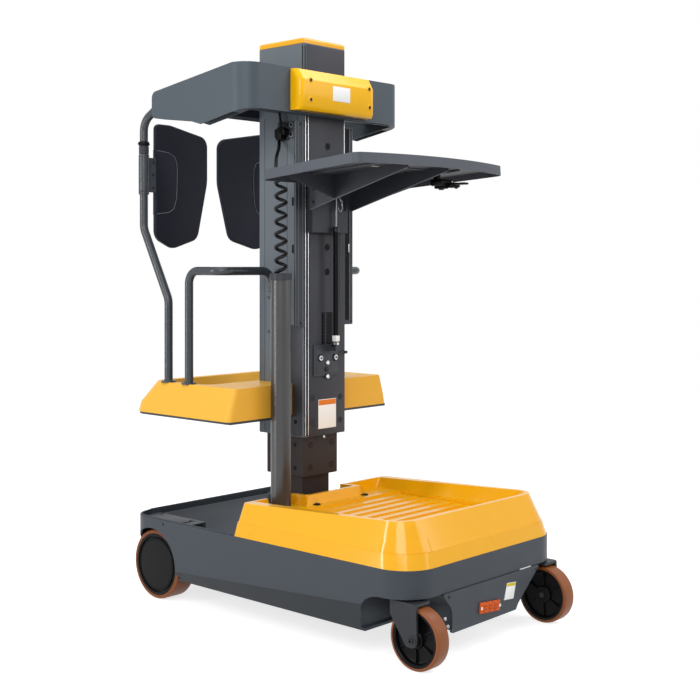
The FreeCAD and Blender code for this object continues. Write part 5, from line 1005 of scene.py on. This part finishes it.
def tray_underside():
    """Slots, and the ribs and screws beside the gussets."""
    form = Form()
    for x, back in TRAY_SLOTS:
        form.block("white", under_tray(x, back, 0.3), SLOT_FACE, 0.6, TRAY_LEAN)
        form.block("black", under_tray(x, back, 0.1), SLOT_FRAME, 0.4, TRAY_LEAN)
    for sign in (-1, 1):
        for back in TRAY_SCREW_BACKS:
            form.screw(under_tray(sign * TRAY_SCREW_X, back), "Z", (5, 2.6, 2.4), -1)
        form.block("tray", under_tray(sign * LONG_RIB_X, LONG_RIB_BACK, 3), LONG_RIB, 2, TRAY_LEAN)
    for back in CROSS_RIB_BACKS:
        form.block("tray", under_tray(0, back, 2), CROSS_RIB, 1.8, TRAY_LEAN)
    form.finish("tray_underside", "tray")


def tray_release():
    """Release mechanism with its knob, and the foot by which it hangs from the tray."""
    form = Form()
    for paint, centre, size, radius in RELEASE_BLOCKS:
        form.block(paint, centre, size, radius)
    form.turned("black", (KNOB_X, KNOB_BACK, 1381), "Z", KNOB)
    for spot in circle_spots(KNOB_X, KNOB_BACK, 1377, KNOB_RADIUS, KNOB_TEETH):
        form.block("hub", spot, (6, 6, 8), 1.6)
    form.screw((204, 286, 1376), "Z", (6, 4, 2.6), -1, steps=6)
    form.turned("aluminium", (226, 322, 1396), "Z", head(4.2, 3, 1.8), steps=16)
    form.block("hub", under_tray(RELEASE_FOOT_X, RELEASE_FOOT_BACK, 1.5), (44, 36, 5), 2, TRAY_LEAN)
    for out in (-15, 15):
        form.screw(under_tray(RELEASE_FOOT_X + out, RELEASE_FOOT_BACK, 4), "Z", (4, 2.4, 2), -1, steps=16)
    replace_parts(form.finish("tray_release", "tray"), "release_handle")


def safety_wire():
    """Wire loop by the strut, with a pin in it."""
    form = Form()
    form.tube("steel", WIRE_LOOP, 1.3, 8)
    form.turned("aluminium", (35, 636, 1322), "Z", WIRE_PIN, steps=16)
    form.finish("strut_safety_wire", "tray")


def gusset_edges():
    """Bright hem along the lower side of each gusset, and its screws."""
    form = Form()
    for sign in (-1, 1):
        hem = [(sign * HEM_X, back, z) for back, z in GUSSET_HEM]
        form.tube("mast side", hem, HEM_RADIUS, 8, rounds=False)
        for z in GUSSET_SCREW_HEIGHTS:
            form.screw((sign * GUSSET_X, GUSSET_SCREW_BACK, z), "X", (5, 2.4, 2.4), sign)
    form.finish("gusset_trim", "tray")


# Deck, skirt and front panel

# Upper wall of the deck at its lower and upper end: height, half width, front and corner radius
WALL_FOOT = (318, 362, 16, 104)
WALL_TOP = (402, 329, 56, 70)
# Rows of the corner covers: height, and how far they stand out; the borders are sunk into the wall
COVER_ROWS = [(318.1, 0.1), (318.6, 0.5), (326, 0.7), (338, 0.7), (348, 0.5), (356, -0.5)]
COVER_COLUMNS = 26
# The first and last columns run on along the straight walls by this step, sunk by that much
COVER_RUN, COVER_SINK = 7, 0.5

LEDGE_Z = 346
LEDGE_BOLTS = [(-96, 625), (134, 623)]
BOLT_WASHER = [(13, 0), (13, 2.2), (11.5, 3.4), (6, 3.4)]

SOCKET_X, SOCKET_Z = -15, 117
SOCKET_BACK, SOCKET_SIZE, SOCKET_TILT = -7, (98, 8, 32), turn_by(5, "Y")
CONTACT_XS, CONTACT_RISES, SOCKET_SCREW_XS = (-40, -14, 12), (9, 0, -9), (-59, 31)
SOCKET_FALL = 0.087
CONTACT_TURN = turn_by(20, "Y")
CONTACT_RISE = 1.044
PANEL_LABEL = [(62, 120), (110, 116), (124, 164), (77, 168)]
LABEL_HEADER = [(75, 158), (120.5, 154), (123, 163), (77.5, 167)]
PANEL_FRONT, PANEL_SLOT = -4, (150, 208, 193.6, 196.6)
# Rings on the panel's side: distance behind the skirt's front, height
PANEL_RING_X, PANEL_RINGS = -186, [(24, 112), (14, 92)]
PANEL_FACE_SCREW_XS, PANEL_FACE_SCREW_Z = (-205, 232), 182
PANEL_RING = [(5.4, 0), (5.4, 1.6), (4.4, 2.4), (3.2, 2.4), (2.6, 1.2), (0, 1.2)]

RIM_Z, RIM_RADIUS = 275.6, 3
# Gutter along a side of the rim, from the deck to the rear: half width, distance behind the skirt's front
RIM_LINE = [(368, 734), (368, 860), (368, 1000), (368, 1120), (362, 1196), (338, 1222), (288, 1239)]
RIM_REAR_BACK, RIM_REAR_XS = 1243, (-288, -100, 100, 288)
SKIRT_PLUG_X, SKIRT_PLUG_BACK = 374.2, 1067
LID_X, LID_BACK, LID_Z = 306, 1116, 262
LID_SEAM, LID_SIZE = (74, 176, 1.6), (69, 171, 2.4)
LID_SCREW_X, LID_SCREW_BACKS = 280, (1040, 1192)


def wall_at(z):
    """Half width, front and corner radius of the deck's upper wall at a height."""
    share = (z - WALL_FOOT[0]) / (WALL_TOP[0] - WALL_FOOT[0])
    return [low + (high - low) * share for low, high in zip(WALL_FOOT[1:], WALL_TOP[1:])]


def corner_covers(form):
    """Thin smooth cover over the belt's joint at each front corner of the deck."""
    for sign in (-1, 1):
        made = bmesh.new()
        rows = []
        for z, out in COVER_ROWS:
            half, front, radius = wall_at(z)
            row = []
            for k in range(-2, COVER_COLUMNS + 3):
                angle = radians(90 * min(max(k, 0), COVER_COLUMNS) / COVER_COLUMNS)
                reach = radius + (out if 0 <= k <= COVER_COLUMNS else -COVER_SINK)
                x = half - radius + reach * cos(angle) - COVER_RUN * max(0, k - COVER_COLUMNS)
                back = front + radius - reach * sin(angle) + COVER_RUN * max(0, -k)
                row.append(made.verts.new(place(sign * x, back, z)))
            rows.append(row)
        for low, high in zip(rows, rows[1:]):
            for k in range(len(low) - 1):
                made.faces.new((low[k], low[k + 1], high[k + 1], high[k])[::sign])
        form.take(made, "cover")


def deck_details():
    form = Form()
    corner_covers(form)
    for x, back in LEDGE_BOLTS:
        form.turned("black", (x, back, LEDGE_Z), "Z", BOLT_WASHER, steps=36)
        form.screw((x, back, LEDGE_Z), "Z", (7, 5.4, 3.4), steps=6)
    form.finish("deck_fittings", "base")


def on_socket(x, back, rise=0):
    """Point on the charging socket's tilted middle line, or that far above it."""
    return (x, back, SOCKET_Z + rise - (x - SOCKET_X) * SOCKET_FALL)


def charging_socket():
    form = Form()
    form.block("orange", (SOCKET_X, SOCKET_BACK, SOCKET_Z), SOCKET_SIZE, 3, SOCKET_TILT, 3)
    for x in CONTACT_XS:
        for rise in CONTACT_RISES:
            form.block("orange", on_socket(x, -11.5, rise), (20, 5, 6), 2.2, SOCKET_TILT)
        form.block("orange", on_socket(x + 6, -11, CONTACT_RISE), (5, 5, 34), 2, CONTACT_TURN)
    for x in SOCKET_SCREW_XS:
        form.turned("aluminium", on_socket(x, -10.4), "Y", head(4.6, 2.2, 2), -1, steps=20)
    form.finish("charging_socket", "base")


def panel_details():
    """Blank label, slot and screws on the front panel."""
    label = Form()
    face = front_face(PANEL_FRONT)
    label.plate("white", PANEL_LABEL, 0.6, 0.15, face)
    label.plate("label yellow", LABEL_HEADER, 0.8, 0.1, face)
    label.finish("panel_blank_label", "base")

    rest = Form()
    rest.plate("white", corners(*PANEL_SLOT), 0.8, 0.2, front_face(0))
    for back, z in PANEL_RINGS:
        rest.turned("aluminium", (PANEL_RING_X, back, z), "X", PANEL_RING, -1, steps=20)
    for x in PANEL_FACE_SCREW_XS:
        rest.screw((x, PANEL_FRONT, PANEL_FACE_SCREW_Z), "Y", (4.6, 1.6, 2.2), -1)
    rest.finish("panel_screws", "base")


def skirt_details():
    """Gutter in the skirt's rim, plug on its side and the lids' seams in the rear well."""
    form = Form()
    for sign in (-1, 1):
        form.tube("chassis", [(sign * half, back, RIM_Z) for half, back in RIM_LINE], RIM_RADIUS, 8)
        plug = (sign * SKIRT_PLUG_X, SKIRT_PLUG_BACK, LID_Z)
        form.turned("black", plug, "X", head(4.5, 1.4, 2), sign, steps=20)
        form.block("black", (sign * LID_X, LID_BACK, LID_Z + 0.3), LID_SEAM, 0.5)
        form.block("chassis", (sign * LID_X, LID_BACK, LID_Z + 0.8), LID_SIZE, 0.8)
        for back in LID_SCREW_BACKS:
            form.screw((sign * LID_SCREW_X, back, LID_Z + 2), "Z", (4.6, 1.8, 2.2))
    form.tube("chassis", [(x, RIM_REAR_BACK, RIM_Z) for x in RIM_REAR_XS], RIM_RADIUS, 8)
    form.finish("skirt_rim", "base")


# Stage: camera, light and floor

CAMERA_X, CAMERA_BACK, CAMERA_HEIGHT = -2940.6, -2137.6, 1123.6
CAMERA_TURN = 47.4
CAMERA_LENS = 62.70
CAMERA_SHIFT = -0.1209
SENSOR_WIDTH = 36

# Lamps: name, place, aim, width and height in metres, power in watts
LAMPS = [
    ("key", (-3.4, -2.4, 3), (0, 0, 0.8), 2.4, 2.4, 96),
    ("fill", (2.2, -3.8, 2.4), (0, 0, 0.7), 2.4, 2.4, 46),
    ("side", (-3.6, 1.6, 1.6), (0, 0, 0.9), 0.5, 3, 62),
    ("top", (0, 0.2, 4.4), (0, 0, 0.5), 3, 3, 66),
    ("spark", (2.8, -1.4, 4.4), (0, 0, 1.2), 1.6, 1.6, 46),
]
# Strength of the world as a lamp, and as it is seen
SKY_STRENGTH, SHOWN_STRENGTH = 0.45, 1
FLOOR_SIZE, FLOOR_DROP = 14, 0.0005
FLOOR_TONE, FLOOR_GLOW = 0.55, 0.74
WHITE = (1, 1, 1, 1)


def set_camera():
    data = bpy.data.cameras.new("camera")
    data.lens = CAMERA_LENS
    data.sensor_width = SENSOR_WIDTH
    data.shift_y = CAMERA_SHIFT
    camera = add_object("camera", data)
    camera.location = place(CAMERA_X, CAMERA_BACK, CAMERA_HEIGHT)
    camera.rotation_euler = (radians(90), 0, radians(-CAMERA_TURN))
    bpy.context.scene.camera = camera


def area_light(name, spot, aim, width, height, power):
    data = bpy.data.lights.new(name, "AREA")
    data.shape = "RECTANGLE"
    data.size = width
    data.size_y = height
    data.energy = power
    light = add_object(name, data)
    light.location = spot
    light.rotation_euler = (Vector(aim) - Vector(spot)).to_track_quat("-Z", "Y").to_euler()


def seen_factor(nodes, links):
    """1 for rays from the camera, a mirror or glass, and 0 for the rays that light the object."""
    path = nodes.new("ShaderNodeLightPath")
    seen = path.outputs["Is Camera Ray"]
    for kind in ("Is Glossy Ray", "Is Transmission Ray"):
        either = nodes.new("ShaderNodeMath")
        either.operation = "MAXIMUM"
        links.new(seen, either.inputs[0])
        links.new(path.outputs[kind], either.inputs[1])
        seen = either.outputs["Value"]
    return seen


def show_apart(tree, unseen, seen, output):
    """Shader for the rays that light the object, and another one for the rays that see it."""
    mix = tree.nodes.new("ShaderNodeMixShader")
    tree.links.new(seen_factor(tree.nodes, tree.links), mix.inputs["Fac"])
    tree.links.new(unseen, mix.inputs[1])
    tree.links.new(seen, mix.inputs[2])
    tree.links.new(mix.outputs["Shader"], tree.nodes[output].inputs["Surface"])


def set_light():
    for lamp in LAMPS:
        area_light(*lamp)
    world = bpy.data.worlds.new("world")
    bpy.context.scene.world = world
    world.use_nodes = True
    nodes = world.node_tree.nodes
    sky = set_inputs(nodes["Background"], {"Color": WHITE, "Strength": SKY_STRENGTH})
    shown = node_with(nodes, "ShaderNodeBackground", {"Color": WHITE, "Strength": SHOWN_STRENGTH})
    show_apart(world.node_tree, sky.outputs["Background"], shown.outputs["Background"], "World Output")


def set_floor():
    """Pale floor: white to the camera, with the object's shadow kept on it."""
    bpy.ops.mesh.primitive_plane_add(size=FLOOR_SIZE, location=(0, 0, -FLOOR_DROP))
    floor = bpy.context.object
    floor.name = "floor"
    made = bpy.data.materials.new("floor")
    made.use_nodes = True
    nodes, links = made.node_tree.nodes, made.node_tree.links
    matt = set_inputs(nodes["Principled BSDF"], {
        "Base Color": (FLOOR_TONE, FLOOR_TONE, FLOOR_TONE, 1), "Roughness": 0.85, "Specular IOR Level": 0.1})
    glow = node_with(nodes, "ShaderNodeEmission", {"Color": WHITE, "Strength": FLOOR_GLOW})
    lit = nodes.new("ShaderNodeAddShader")
    links.new(matt.outputs["BSDF"], lit.inputs[0])
    links.new(glow.outputs["Emission"], lit.inputs[1])
    show_apart(made.node_tree, matt.outputs["BSDF"], lit.outputs["Shader"], "Material Output")
    floor.data.materials.append(made)


set_camera()
dress_nodes()
curly_cord()
casters()
drive_wheels()
mast_front()
rack_slot()
latch()
guides()
mast_sides()
plug_block()
feed_cable()
box_details()
console_details()
gate_pads()
post_collars()
tray_underside()
tray_release()
safety_wire()
gusset_edges()
deck_details()
charging_socket()
panel_details()
skirt_details()
set_light()
set_floor()

bpy.context.scene.view_settings.view_transform = "Standard"
